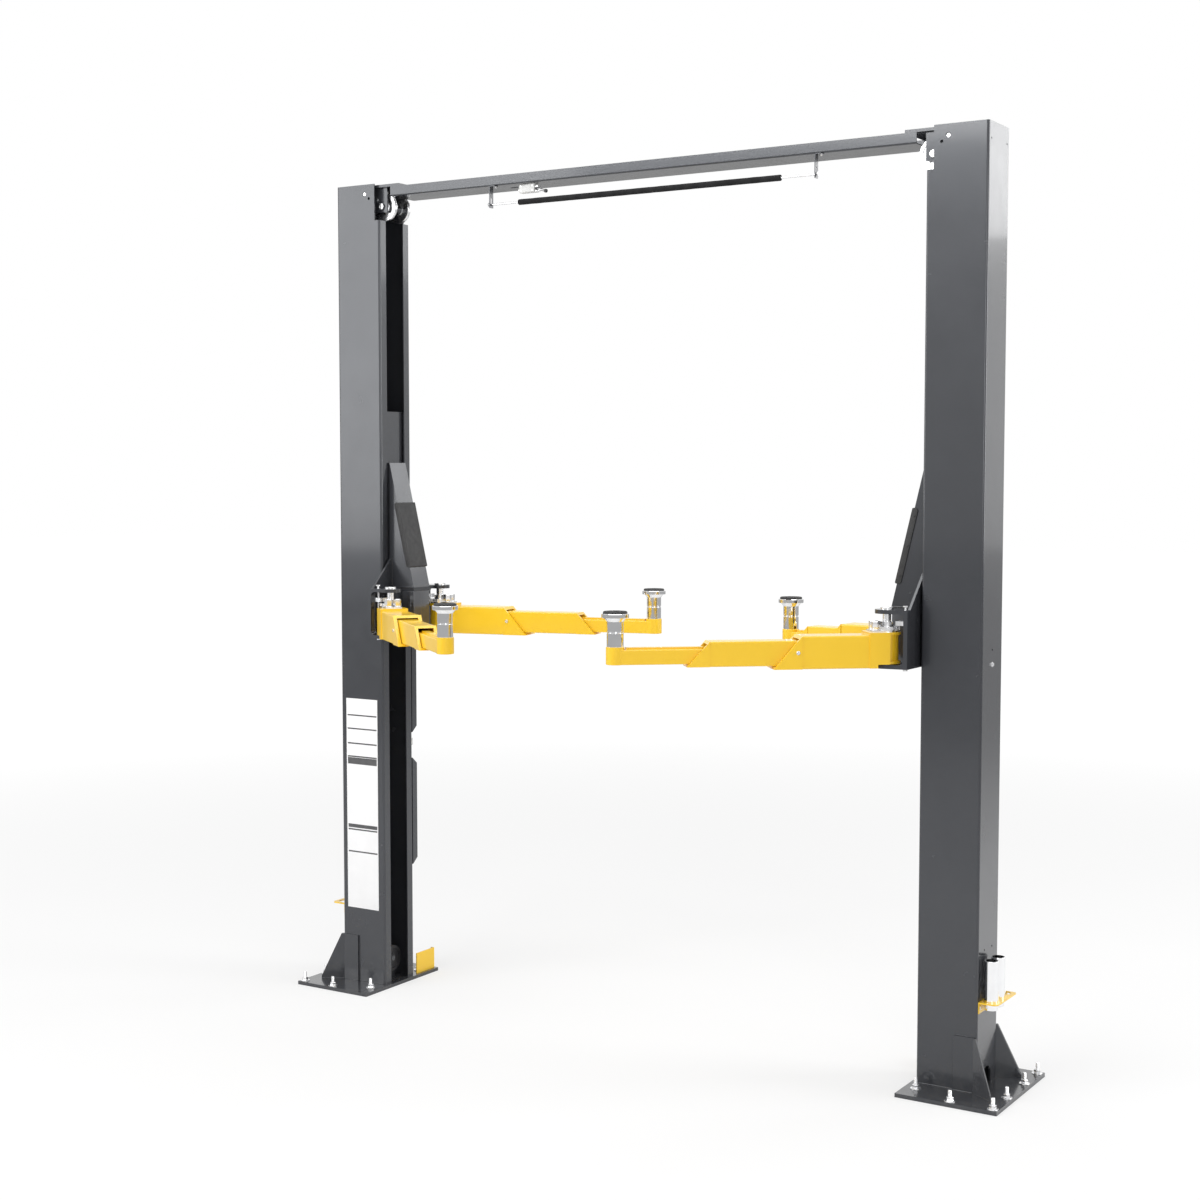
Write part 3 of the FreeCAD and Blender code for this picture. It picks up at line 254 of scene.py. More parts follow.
def joined(name, pieces):
    """One named piece from several."""
    bpy.ops.object.select_all(action="DESELECT")
    for piece in pieces:
        piece.select_set(True)
    bpy.context.view_layer.objects.active = pieces[0]
    if len(pieces) > 1:
        bpy.ops.object.join()
    piece = bpy.context.view_layer.objects.active
    piece.name = name
    piece.data.name = name
    return piece


def fitted(piece, body, slot, material=None):
    """Give a finished piece its paint and let it ride on its body."""
    piece.data.materials.clear()
    piece.data.materials.append(material or FINISHES[slot])
    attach(piece, body)
    return piece


def from_node(name, node):
    """A merged copy of a CAD node's mesh, to be shaped further."""
    source = frame["nodes"][node]
    twin = source.copy()
    twin.data = source.data.copy()
    twin.parent = None
    twin.name = name
    twin.data.name = name
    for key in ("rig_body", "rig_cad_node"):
        del twin[key]
    bpy.context.scene.collection.objects.link(twin)
    outward(twin)
    bpy.ops.object.mode_set(mode="EDIT")
    bpy.ops.mesh.dissolve_limited(angle_limit=math.radians(FLAT_ANGLE))
    bpy.ops.object.mode_set(mode="OBJECT")
    return twin


def flipped(piece, across):
    """A copy with its own mesh, mirrored through the frame's centre plane across an axis."""
    twin = copied(piece, (0, 0, 0))
    twin.scale = tuple(-1 if axis == across else 1 for axis in "XYZ")
    only(twin)
    bpy.ops.object.transform_apply(location=False, rotation=False, scale=True)
    return outward(twin)


def all_four(piece):
    """The piece and its mirror images at the other three corners of the lift."""
    twin = flipped(piece, "Y")
    return [piece, twin, flipped(piece, "X"), flipped(twin, "X")]


def on_arm(piece, arm):
    """A copy of what is drawn along +X from the pivot, set on an arm."""
    side, end, angle = ARMS[arm]
    heading = 180 + angle if end < 0 else 180 - angle
    if side < 0:
        heading = 180 - heading
    drawn = flipped(piece, "Y") if side * end > 0 else copied(piece, (0, 0, 0))
    twin = copied(drawn, (side * PIVOT_X, end * PIVOT_Y, 0), (0, 0, math.radians(heading)))
    discard(drawn)
    return twin


# Material tools

DUST_TONE = (0.21, 0.2, 0.185, 1)
DUST_MOST = 0.14
DUST_SIZE = 14.0
RELIEF_STRENGTH = 0.6


def new_group(name, inputs, outputs):
    """A shader node group with named sockets: (name, kind, value)."""
    group = bpy.data.node_groups.new(name, "ShaderNodeTree")
    for label, kind, value in inputs:
        socket = group.interface.new_socket(name=label, in_out="INPUT", socket_type=kind)
        socket.default_value = value
    for label, kind in outputs:
        group.interface.new_socket(name=label, in_out="OUTPUT", socket_type=kind)
    return group, group.nodes.new("NodeGroupInput"), group.nodes.new("NodeGroupOutput")


def noise(tree, vector, scale, detail, roughness=0.55):
    """A cloud whose scale is a socket or a plain number."""
    node = tree.nodes.new("ShaderNodeTexNoise")
    node.inputs["Detail"].default_value = detail
    node.inputs["Roughness"].default_value = roughness
    tree.links.new(vector, node.inputs["Vector"])
    if isinstance(scale, (int, float)):
        node.inputs["Scale"].default_value = scale
    else:
        tree.links.new(scale, node.inputs["Scale"])
    return node.outputs["Fac"]


def spread(tree, value, low_in, high_in, low_out=0.0, high_out=1.0):
    """A value mapped from one range to another."""
    node = tree.nodes.new("ShaderNodeMapRange")
    tree.links.new(value, node.inputs["Value"])
    for label, number in zip(("From Min", "From Max"), (low_in, high_in)):
        node.inputs[label].default_value = number
    for label, number in zip(("To Min", "To Max"), (low_out, high_out)):
        if isinstance(number, (int, float)):
            node.inputs[label].default_value = number
        else:
            tree.links.new(number, node.inputs[label])
    return node.outputs["Result"]


def mixed(tree, share, first, second):
    """Mix two colours, each a socket or a plain colour."""
    node = tree.nodes.new("ShaderNodeMix")
    node.data_type = "RGBA"
    for socket, value in ((node.inputs[0], share), (node.inputs[6], first), (node.inputs[7], second)):
        if isinstance(value, bpy.types.NodeSocket):
            tree.links.new(value, socket)
        else:
            socket.default_value = value
    return node.outputs[2]


def mottled_tone():
    """Two tones mixed by a broad cloud, as sprayed paint and plating vary."""
    tree, given, made = new_group(
        "mottled_tone",
        [("Tone", "NodeSocketColor", (0.5, 0.5, 0.5, 1)),
         ("Second Tone", "NodeSocketColor", (0.4, 0.4, 0.4, 1)),
         ("Size", "NodeSocketFloat", 4.0)],
        [("Color", "NodeSocketColor"), ("Mask", "NodeSocketFloat")])
    place = tree.nodes.new("ShaderNodeTexCoord").outputs["Object"]
    broad = noise(tree, place, given.outputs["Size"], detail=4.0)
    mask = spread(tree, broad, low_in=0.35, high_in=0.65)
    color = mixed(tree, mask, given.outputs["Tone"], given.outputs["Second Tone"])
    tree.links.new(color, made.inputs["Color"])
    tree.links.new(mask, made.inputs["Mask"])
    return tree


def uneven_gloss():
    """A roughness that wanders between two values."""
    tree, given, made = new_group(
        "uneven_gloss",
        [("Low", "NodeSocketFloat", 0.3),
         ("High", "NodeSocketFloat", 0.45),
         ("Size", "NodeSocketFloat", 9.0)],
        [("Roughness", "NodeSocketFloat")])
    place = tree.nodes.new("ShaderNodeTexCoord").outputs["Object"]
    cloud = noise(tree, place, given.outputs["Size"], detail=5.0, roughness=0.6)
    wander = spread(tree, cloud, 0.3, 0.7, given.outputs["Low"], given.outputs["High"])
    tree.links.new(wander, made.inputs["Roughness"])
    return tree


def fine_relief():
    """A small even texture for a Bump node: spray, casting skin or moulded grain."""
    tree, given, made = new_group(
        "fine_relief", [("Size", "NodeSocketFloat", 400.0)], [("Height", "NodeSocketFloat")])
    place = tree.nodes.new("ShaderNodeTexCoord").outputs["Object"]
    grain = noise(tree, place, given.outputs["Size"], detail=2.0, roughness=0.5)
    tree.links.new(grain, made.inputs["Height"])
    return tree


def floor_dust():
    """A faint mask of dust that gathers in the lowest part of the lift."""
    tree, given, made = new_group(
        "floor_dust", [("Reach", "NodeSocketFloat", 0.35)], [("Mask", "NodeSocketFloat")])
    place = tree.nodes.new("ShaderNodeTexCoord").outputs["Object"]
    parts = tree.nodes.new("ShaderNodeSeparateXYZ")
    tree.links.new(place, parts.inputs["Vector"])
    ratio = tree.nodes.new("ShaderNodeMath")
    ratio.operation = "DIVIDE"
    tree.links.new(parts.outputs["Z"], ratio.inputs[0])
    tree.links.new(given.outputs["Reach"], ratio.inputs[1])
    fade = spread(tree, ratio.outputs["Value"], 0.0, 1.0, low_out=DUST_MOST, high_out=0.0)
    patches = noise(tree, place, DUST_SIZE, detail=6.0, roughness=0.65)
    cloud = spread(tree, patches, low_in=0.4, high_in=0.7)
    both = tree.nodes.new("ShaderNodeMath")
    both.operation = "MULTIPLY"
    tree.links.new(fade, both.inputs[0])
    tree.links.new(cloud, both.inputs[1])
    tree.links.new(both.outputs["Value"], made.inputs["Mask"])
    return tree


MOTTLED_TONE = mottled_tone()
UNEVEN_GLOSS = uneven_gloss()
FINE_RELIEF = fine_relief()
FLOOR_DUST = floor_dust()


def placed_group(tree, group, **values):
    """A use of a node group with some of its inputs set."""
    node = tree.nodes.new("ShaderNodeGroup")
    node.node_tree = group
    for label, value in values.items():
        node.inputs[label.replace("_", " ")].default_value = value
    return node


def finish(name, tone, second, tone_size, gloss, relief, dust=0.0, **shader):
    """A material from two tones, a gloss of (low, high, size) and a relief of (size, depth)."""
    material = bpy.data.materials.new(name)
    material.use_nodes = True
    tree = material.node_tree
    principled = tree.nodes["Principled BSDF"]
    mottled = placed_group(tree, MOTTLED_TONE, Tone=tone, Second_Tone=second, Size=tone_size)
    color = mottled.outputs["Color"]
    if dust:
        mask = placed_group(tree, FLOOR_DUST, Reach=dust).outputs["Mask"]
        color = mixed(tree, mask, color, DUST_TONE)
    tree.links.new(color, principled.inputs["Base Color"])
    rough = placed_group(tree, UNEVEN_GLOSS, Low=gloss[0], High=gloss[1], Size=gloss[2])
    tree.links.new(rough.outputs["Roughness"], principled.inputs["Roughness"])
    bump = tree.nodes.new("ShaderNodeBump")
    bump.inputs["Strength"].default_value = RELIEF_STRENGTH
    bump.inputs["Distance"].default_value = relief[1]
    height = placed_group(tree, FINE_RELIEF, Size=relief[0])
    tree.links.new(height.outputs["Height"], bump.inputs["Height"])
    tree.links.new(bump.outputs["Normal"], principled.inputs["Normal"])
    for label, value in shader.items():
        principled.inputs[label.replace("_", " ")].default_value = value
    return material


FINISHES = {
    "charcoal_paint": finish("charcoal_paint", (0.03, 0.0312, 0.036, 1), (0.034, 0.0355, 0.0405, 1), 2.5,
                             (0.2, 0.28, 6.0), (260.0, 0.0003), dust=0.16,
                             Coat_Weight=0.6, Coat_Roughness=0.08, Specular_Tint=(0.9, 0.94, 1, 1)),
    "yellow_paint": finish("yellow_paint", (0.94, 0.59, 0.016, 1), (0.91, 0.565, 0.014, 1), 3.0,
                           (0.28, 0.4, 8.0), (300.0, 0.0005), Coat_Weight=0.5, Coat_Roughness=0.1),
    "zinc_plate": finish("zinc_plate", (0.88, 0.88, 0.89, 1), (0.8, 0.805, 0.815, 1), 25.0,
                         (0.2, 0.28, 40.0), (900.0, 0.00004), Metallic=1.0),
    "bright_chrome": finish("bright_chrome", (0.92, 0.925, 0.935, 1), (0.88, 0.885, 0.895, 1), 20.0,
                            (0.05, 0.1, 40.0), (500.0, 0.00004), Metallic=1.0),
    "black_rubber": finish("black_rubber", (0.016, 0.016, 0.017, 1), (0.026, 0.026, 0.027, 1), 18.0,
                           (0.5, 0.68, 40.0), (1100.0, 0.0002)),
    "black_foam": finish("black_foam", (0.014, 0.014, 0.015, 1), (0.024, 0.024, 0.025, 1), 30.0,
                         (0.72, 0.9, 60.0), (700.0, 0.0009), Specular_IOR_Level=0.15),
    "block_plastic": finish("block_plastic", (0.05, 0.05, 0.055, 1), (0.075, 0.075, 0.08, 1), 25.0,
                            (0.34, 0.5, 50.0), (800.0, 0.0002)),
    "white_plastic": finish("white_plastic", (0.78, 0.78, 0.76, 1), (0.7, 0.7, 0.69, 1), 14.0,
                            (0.3, 0.42, 30.0), (900.0, 0.00015)),
    "dark_steel": finish("dark_steel", (0.02, 0.02, 0.022, 1), (0.027, 0.027, 0.029, 1), 12.0,
                         (0.34, 0.42, 20.0), (420.0, 0.0001), Metallic=0.3),
}
PLACARD_WHITE = finish("placard_white", (0.9, 0.9, 0.905, 1), (0.87, 0.87, 0.875, 1), 8.0,
                       (0.35, 0.45, 20.0), (600.0, 0.00008))
PLACARD_GREY = finish("placard_grey", (0.06, 0.06, 0.063, 1), (0.09, 0.09, 0.093, 1), 22.0,
                      (0.4, 0.5, 20.0), (600.0, 0.00008))


def dress_frame():
    """Give every node of the frame the finish of its slot."""
    for node in frame["nodes"].values():
        slot = node.material_slots[0].material.name.split(".")[0]
        for holder in node.material_slots:
            holder.material = FINISHES[slot]


dress_frame()


# Fasteners, each modelled once

def threaded_stud(radius, top):
    """A stud with raised thread rings and a chamfered end."""
    root = radius * THREAD_ROOT
    rings = [(root, 0.0)]
    height = THREAD_PITCH / 2
    while height < top - THREAD_PITCH:
        rings += [(radius, height), (root, height + THREAD_PITCH / 2)]
        height += THREAD_PITCH
    rings += [(radius, top - THREAD_PITCH * 0.7), (radius * 0.72, top)]
    return turned("stud", rings, STUD_SIDES)


def hex_nut(radius, low, high):
    """A hexagon between two heights, chamfered at both."""
    chamfer = radius * NUT_CHAMFER
    rings = [(radius * NUT_LOW_R, low), (radius, low + chamfer), (radius, high - chamfer),
             (radius * NUT_HIGH_R, high)]
    return turned("nut", rings, 6)


def washer(radius, low, thick):
    """A flat disc with both edges eased."""
    edge = thick * WASHER_EDGE
    rings = [(radius - edge, low), (radius, low + edge), (radius, low + thick - edge),
             (radius - edge, low + thick)]
    return turned("washer", rings, WASHER_SIDES)


def anchor_bolt():
    """A stud with its nut and washer, standing on the XY plane."""
    stud = threaded_stud(STUD_R, STUD_ABOVE)
    nut = hex_nut(NUT_R, WASHER_THICK, WASHER_THICK + NUT_HEIGHT)
    return joined("anchor_bolt", [washer(WASHER_R, 0, WASHER_THICK), nut, stud])


def hex_bolt(radius, head):
    """A bolt head on its washer, standing on the XY plane."""
    thick = head * HEAD_WASHER_THICK
    seat = washer(radius * HEAD_WASHER_R, 0, thick)
    return joined("hex_bolt", [seat, hex_nut(radius, thick, thick + head)])


def socket_screw(radius, head):
    """A round head with a six sided pocket."""
    rings = [(radius, 0), (radius, head * SCREW_SHOULDER), (radius * SCREW_TOP_R, head)]
    cap = turned("cap", rings, SCREW_SIDES)
    bore = radius * POCKET_R
    pocket = turned("pocket", [(bore, head * POCKET_FLOOR), (bore, head * POCKET_REACH)], 6)
    cut = cap.modifiers.new("pocket", "BOOLEAN")
    cut.object = pocket
    cut.operation = "DIFFERENCE"
    only(cap)
    bpy.ops.object.modifier_apply(modifier=cut.name)
    discard(pocket)
    return cap


def anchor_places():
    """The plan places of the right base plate's eight anchors."""
    edge_x = PLATE_HIGH.x - ANCHOR_EDGE
    edge_y = PLATE_HIGH.y - ANCHOR_EDGE
    places = []
    for end in (-1, 1):
        places += [(edge_x, end * edge_y), (edge_x, end * ANCHOR_NEAR),
                   (PLATE_HIGH.x - ANCHOR_MID_INSET, end * edge_y),
                   (INNER_FACE + ANCHOR_FRONT_IN, end * ANCHOR_FRONT_Y)]
    return places


def anchor_bolts():
    """Anchors of both base plates, each turned a little differently."""
    bolt = anchor_bolt()
    bolts = []
    for number, (x, y) in enumerate(anchor_places()):
        turn = (0, 0, math.radians(ANCHOR_TURN * number))
        bolts.append(copied(bolt, (x, y, PLATE_TOP), turn))
        bolts.append(copied(bolt, (-x, y, PLATE_TOP), turn))
    discard(bolt)
    fitted(smooth(joined("anchor_bolts", bolts)), "frame", "zinc_plate")


anchor_bolts()


def frame_fasteners():
    """Bolts of the column heads, sheave axles, beam caps, racks, toe guards and webs."""
    through = turned("through_bolt", [(9 * MM, -127 * MM), (11 * MM, -125 * MM),
                                      (11 * MM, 125 * MM), (9 * MM, 127 * MM)], 24)
    axle_cap = turned("axle_cap", [(17 * MM, 0), (17 * MM, 2 * MM), (15.5 * MM, 3.5 * MM),
                                   (8 * MM, 3.5 * MM), (6.5 * MM, 2 * MM)], 28)
    hexagon = hex_bolt(9 * MM, 6 * MM)
    small = hex_bolt(7 * MM, 5 * MM)
    button = socket_screw(8 * MM, 4.5 * MM)
    head_x, head_z = INNER_FACE + 103 * MM, COLUMN_TOP - 50.8 * MM
    axle_x, axle_z = INNER_FACE + 17 * MM, COLUMN_TOP - 119 * MM
    bracket_side = 93 * MM
    web_bolt_z = 1974 * MM
    cap_screw_x, cap_screw_y = INNER_FACE - 80 * MM, 53.5 * MM
    rack_x, rack_z = OUTER_FACE + 4 * MM, 408 * MM
    guard_x, guard_z = 1582 * MM, PLATE_TOP + 6 * MM
    hanger_y, hanger_z = -99 * MM, BEAM_BOTTOM - 4 * MM
    made = []
    for side in (-1, 1):
        out = RIGHTWARD if side > 0 else LEFTWARD
        made.append(copied(through, (side * head_x, 0, head_z), FRONTWARD))
        made.append(copied(axle_cap, (side * axle_x, -bracket_side, axle_z), FRONTWARD))
        made.append(copied(axle_cap, (side * axle_x, bracket_side, axle_z), REARWARD))
        made.append(copied(hexagon, (side * OUTER_FACE, 0, web_bolt_z), out))
        for y in (-cap_screw_y, cap_screw_y):
            made.append(copied(button, (side * cap_screw_x, y, CAP_TOP), UPWARD))
        for y in (-100 * MM, -36 * MM):
            made.append(copied(small, (side * rack_x, y, rack_z), out))
        for y in (262 * MM, 294 * MM):
            made.append(copied(small, (side * guard_x, y, guard_z), UPWARD))
    for x in (HANGER_LOW.x + 22 * MM, HANGER_HIGH.x - 12 * MM):
        made.append(copied(small, (x, hanger_y, hanger_z), DOWNWARD))
    for piece in (through, axle_cap, hexagon, small, button):
        discard(piece)
    fitted(smooth(joined("frame_fasteners", made)), "frame", "zinc_plate")


def latch_fittings():
    """Screws in the latch covers, and the release rod and its white block between them."""
    cover_face = HALF_WIDTH + 40 * MM
    screw = socket_screw(6 * MM, 4 * MM)
    screws = []
    for side in (-1, 1):
        for z in (705, 1198, 1451, 1845):
            for inset in (16, 104):
                place = (side * (INNER_FACE + inset * MM), cover_face, z * MM)
                screws.append(copied(screw, place, REARWARD))
    discard(screw)
    fitted(smooth(joined("latch_screws", screws)), "frame", "zinc_plate")
    rod = turned("release_rod", [(4 * MM, 1235 * MM), (5 * MM, 1237 * MM),
                                 (5 * MM, 1412 * MM), (4 * MM, 1414 * MM)], 16)
    low = (-11 * MM, -10 * MM, 1320 * MM)
    high = (11 * MM, 12 * MM, 1360 * MM)
    block = rounded(bar_box("release_block", low, high), 2.5 * MM, 3)
    rod_x, rod_y = INNER_FACE + 30 * MM, HALF_WIDTH + 18 * MM
    rods, blocks = [], []
    for side in (-1, 1):
        rods.append(copied(rod, (side * rod_x, rod_y, 0)))
        blocks.append(copied(block, (side * rod_x, rod_y, 0)))
    discard(rod)
    discard(block)
    fitted(smooth(joined("release_rods", rods)), "frame", "zinc_plate")
    fitted(smooth(joined("release_blocks", blocks)), "frame", "white_plastic")


def bar_nuts():
    """The nuts at both ends of the shut-off bar."""
    bite = 0.4 * MM
    nut = hex_nut(12.6 * MM, 0, 7.2 * MM)
    pair = [copied(nut, (BAR_LOW.x + bite, BAR_Y, BAR_Z), RIGHTWARD),
            copied(nut, (BAR_HIGH.x - bite, BAR_Y, BAR_Z), LEFTWARD)]
    discard(nut)
    fitted(smooth(joined("bar_nuts", pair)), "shutoff_bar", "zinc_plate")


def gear_bolts():
    """Two tall hexagon blocks on round seats that hold each restraint gear to its arm."""
    seat_top = 3.6 * MM
    block_top = 42 * MM
    block_x, block_y = 57 * MM, 23 * MM
    tongue_top = FLANGE_TOP + 8 * MM
    seat = turned("seat", [(21.6 * MM, 0), (22.4 * MM, 0.8 * MM),
                           (22.4 * MM, 3 * MM), (21.6 * MM, seat_top)], 32)
    head = hex_nut(22 * MM, seat_top, block_top)
    tall = joined("gear_bolt", [seat, head])
    pair = [copied(tall, (block_x, y, tongue_top)) for y in (-block_y, block_y)]
    discard(tall)
    drawn = smooth(joined("gear_bolts", pair))
    for arm in ARMS:
        twin = on_arm(drawn, arm)
        twin.name = arm + "_gear_bolts"
        fitted(twin, arm + "_outer", "zinc_plate")
    discard(drawn)


def yoke_posts():
    """The box below each tower that closes the yoke between its two arms."""
    depth = 83 * MM
    half = 69.5 * MM
    low = (YOKE_FRONT - depth, -half, YOKE_BOTTOM + 2 * MM)
    high = (YOKE_FRONT, half, YOKE_TOP - 19.3 * MM)
    post = rounded(bar_box("yoke_post", low, high), 3 * MM, 3)
    twin = flipped(post, "X")
    post.name = "right_yoke_post"
    twin.name = "left_yoke_post"
    fitted(smooth(post), "right_carriage", "charcoal_paint")
    fitted(smooth(twin), "left_carriage", "charcoal_paint")


def stop_bolts():
    """The button heads on both cheeks that keep the middle arm in."""
    stop_x, stop_z = 431 * MM, 2035 * MM
    button = socket_screw(9 * MM, 5 * MM)
    pair = [copied(button, (stop_x, CHEEK_SIDE, stop_z), REARWARD),
            copied(button, (stop_x, -CHEEK_SIDE, stop_z), FRONTWARD)]
    discard(button)
    drawn = smooth(joined("stop_bolts", pair))
    for arm in ARMS:
        twin = on_arm(drawn, arm)
        twin.name = arm + "_stop_bolts"
        fitted(twin, arm + "_outer", "zinc_plate")
    discard(drawn)


def coil_spring(radius, wire, low, high, turns):
    """A round wire swept up a screw, closed at both ends."""
    start = (radius, 0, low)
    bpy.ops.mesh.primitive_circle_add(vertices=WIRE_SIDES, radius=wire, location=start, rotation=FRONTWARD)
    piece = bpy.context.object
    bpy.ops.object.transform_apply(location=True, rotation=True, scale=True)
    coil = piece.modifiers.new("coil", "SCREW")
    coil.steps = coil.render_steps = COIL_STEPS
    coil.iterations = turns
    coil.screw_offset = (high - low) / turns
    bpy.ops.object.modifier_apply(modifier=coil.name)
    bpy.ops.object.mode_set(mode="EDIT")
    bpy.ops.mesh.select_all(action="SELECT")
    bpy.ops.mesh.fill_holes(sides=WIRE_SIDES)
    bpy.ops.object.mode_set(mode="OBJECT")
    return outward(piece)


def restraint_springs():
    """The spring round each restraint rod, between the pawl and the yoke's upper ear."""
    rod_x, rod_y = 1527 * MM, 213 * MM
    spring = coil_spring(7.6 * MM, 1.1 * MM, 2174 * MM, 2203 * MM, 5)
    for side, body in ((1, "right"), (-1, "left")):
        pair = [copied(spring, (side * rod_x, y, 0)) for y in (-rod_y, rod_y)]
        piece = smooth(joined(body + "_restraint_springs", pair))
        fitted(piece, body + "_carriage", "zinc_plate")
    discard(spring)


frame_fasteners()
latch_fittings()
bar_nuts()
gear_bolts()
yoke_posts()
stop_bolts()
restraint_springs()


# Weld beads, their ends in millimetres

RIPPLE = 5 * MM
BEAD_SIDES = 8
BEAD_END = 0.5
BEAD_VALLEY = 0.84
BEAD_CREST = 0.45
COLUMN_RUNS = (
    ((1749, 130, 22), (1749, 130, 272), 2.2),
    ((1751, 130, 275.5), (1852, 130, 275.5), 2.2),
    ((1752, 139.5, 20), (1846, 139.5, 20), 2.6),
    ((1848, 140.5, 20), (1955, 205, 20), 2.6),
    ((1580, 129.5, 20), (1746, 129.5, 20), 2.6),
    ((1861.5, 60, 20), (1861.5, 116, 20), 2.6),
)
YOKE_RUNS = (
    ((1399, 71.5, 2225), (1540, 71.5, 2225), 3),
    ((1543, 76, 2225.5), (1543, 226, 2225.5), 3),
    ((1543, 72, 2230), (1543, 72, 2380), 3),
)
ROOT_UPRIGHT = ((99, 71.5, 1969), (99, 71.5, 2101), 2.5)
ROOT_ACROSS = ((99.5, -68, 2111), (99.5, 68, 2111), 2.5)


def bead(start, end, radius):
    """A rippled bead between two points in millimetres."""
    run = (Vector(end) - Vector(start)) * MM
    count = max(4, round(run.length / RIPPLE))
    step = run.length / count
    end_radius = radius * BEAD_END * MM
    rings = [(end_radius, 0)]
    for number in range(count):
        rings.append((radius * MM, (number + BEAD_CREST) * step))
        rings.append((radius * BEAD_VALLEY * MM, (number + 1) * step))
    rings[-1] = (end_radius, run.length)
    drawn = turned("bead", rings, BEAD_SIDES)
    turn = run.to_track_quat("Z", "Y").to_euler()
    twin = copied(drawn, Vector(start) * MM, turn)
    discard(drawn)
    return twin


def column_beads():
    """Beads of one column's foot and gusset, repeated at the other three."""
    made = []
    for start, end, radius in COLUMN_RUNS:
        made += all_four(bead(start, end, radius))
    fitted(smooth(joined("column_beads", made), BEAD_ANGLE), "frame", "charcoal_paint")


def yoke_beads():
    """Beads where the tower and its gussets stand on the yoke."""
    for body in ("left", "right"):
        made = []
        for start, end, radius in YOKE_RUNS:
            drawn = bead(start, end, radius)
            made += [drawn, flipped(drawn, "Y")]
        piece = joined(body + "_yoke_beads", made)
        if body == "left":
            twin = flipped(piece, "X")
            discard(piece)
            twin.name = body + "_yoke_beads"
            piece = twin
        fitted(smooth(piece, BEAD_ANGLE), body + "_carriage", "charcoal_paint")


def arm_beads():
    """Beads round the root block of each outer arm."""
    upright = bead(*ROOT_UPRIGHT)
    across = bead(*ROOT_ACROSS)
    root = joined("root_beads", [upright, flipped(upright, "Y"), across])
    for arm in ARMS:
        twin = on_arm(root, arm)
        twin.name = arm + "_root_beads"
        fitted(smooth(twin, BEAD_ANGLE), arm + "_outer", "yellow_paint")
    discard(root)


column_beads()
yoke_beads()
arm_beads()


# Rubber, foam and plastic

SLEEVE_BORE = 5.2 * MM
SLEEVE_RINGS = 60
SLEEVE_SIDES = 40
SLEEVE_SWELL = 0.35 * MM
SLEEVE_ANGLE = 50
PAD_FOOT_X = 1395
PAD_FOOT_Z = 2224
PAD_SLOPE = 162 / 676
PAD_SCREW_INSET = 10
PAD_SCREWS = (2370, 2508, 2646)
TREAD_RINGS = (45, 36, 27, 18, 9)
TREAD_DEPTH = 2.2 * MM
TREAD_SIDES = 48
GROOVES = 4
GROOVE_TURN = 45
GROOVE_HALF = 1.6 * MM
CASE_RIGHT = SWITCH_HIGH.x - 80 * MM
LEVER_TILT = math.radians(16)
LEVER_LENGTH = 60 * MM
PLACARD_BANDS = ((1234, 1271), (878, 898))
PLACARD_LINES = (1507, 1432, 1350, 1277, 868, 744)


def foam_sleeve():
    """A soft tube with rolled ends, slightly uneven along its length."""
    start, end = SLEEVE_LOW.x, SLEEVE_HIGH.x
    radius = (SLEEVE_HIGH.z - SLEEVE_LOW.z) / 2
    rings = [(SLEEVE_BORE, start), (9 * MM, start), (radius - 2.5 * MM, start + 0.8 * MM),
             (radius - 0.8 * MM, start + 2.6 * MM)]
    inset = 5 * MM
    run = end - start - 2 * inset
    for number in range(SLEEVE_RINGS + 1):
        along = start + inset + run * number / SLEEVE_RINGS
        swell = SLEEVE_SWELL * math.sin(number * 1.7) * math.sin(number * 0.43)
        rings.append((radius - 0.4 * MM + swell, along))
    rings += [(radius - 0.8 * MM, end - 2.6 * MM), (radius - 2.5 * MM, end - 0.8 * MM), (9 * MM, end),
              (SLEEVE_BORE, end)]
    drawn = turned("drawn", rings, SLEEVE_SIDES)
    piece = copied(drawn, (0, BAR_Y, BAR_Z), RIGHTWARD)
    discard(drawn)
    piece.name = "foam_sleeve"
    fitted(smooth(piece, SLEEVE_ANGLE), "shutoff_bar", "black_foam")
    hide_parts("shutoff_pad")


def door_pads():
    """Moulded rubber channels with rounded edges, each held by screws at both sides."""
    screw = socket_screw(5 * MM, 2.2 * MM)
    for side, body in ((1, "right"), (-1, "left")):
        node = body + "_door_pad"
        screw_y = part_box(node)[1].y - 0.4 * MM
        pad = rounded(from_node(body + "_door_pad_rubber", node), 1.6 * MM, 3, 30)
        fitted(smooth(pad), body + "_carriage", "black_rubber")
        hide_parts(node)
        screws = []
        for height in PAD_SCREWS:
            x = side * (PAD_FOOT_X + (height - PAD_FOOT_Z) * PAD_SLOPE + PAD_SCREW_INSET) * MM
            for end, turn in ((-1, FRONTWARD), (1, REARWARD)):
                screws.append(copied(screw, (x, end * screw_y, height * MM), turn))
        fitted(smooth(joined(body + "_pad_screws", screws)), body + "_carriage", "dark_steel")
    discard(screw)


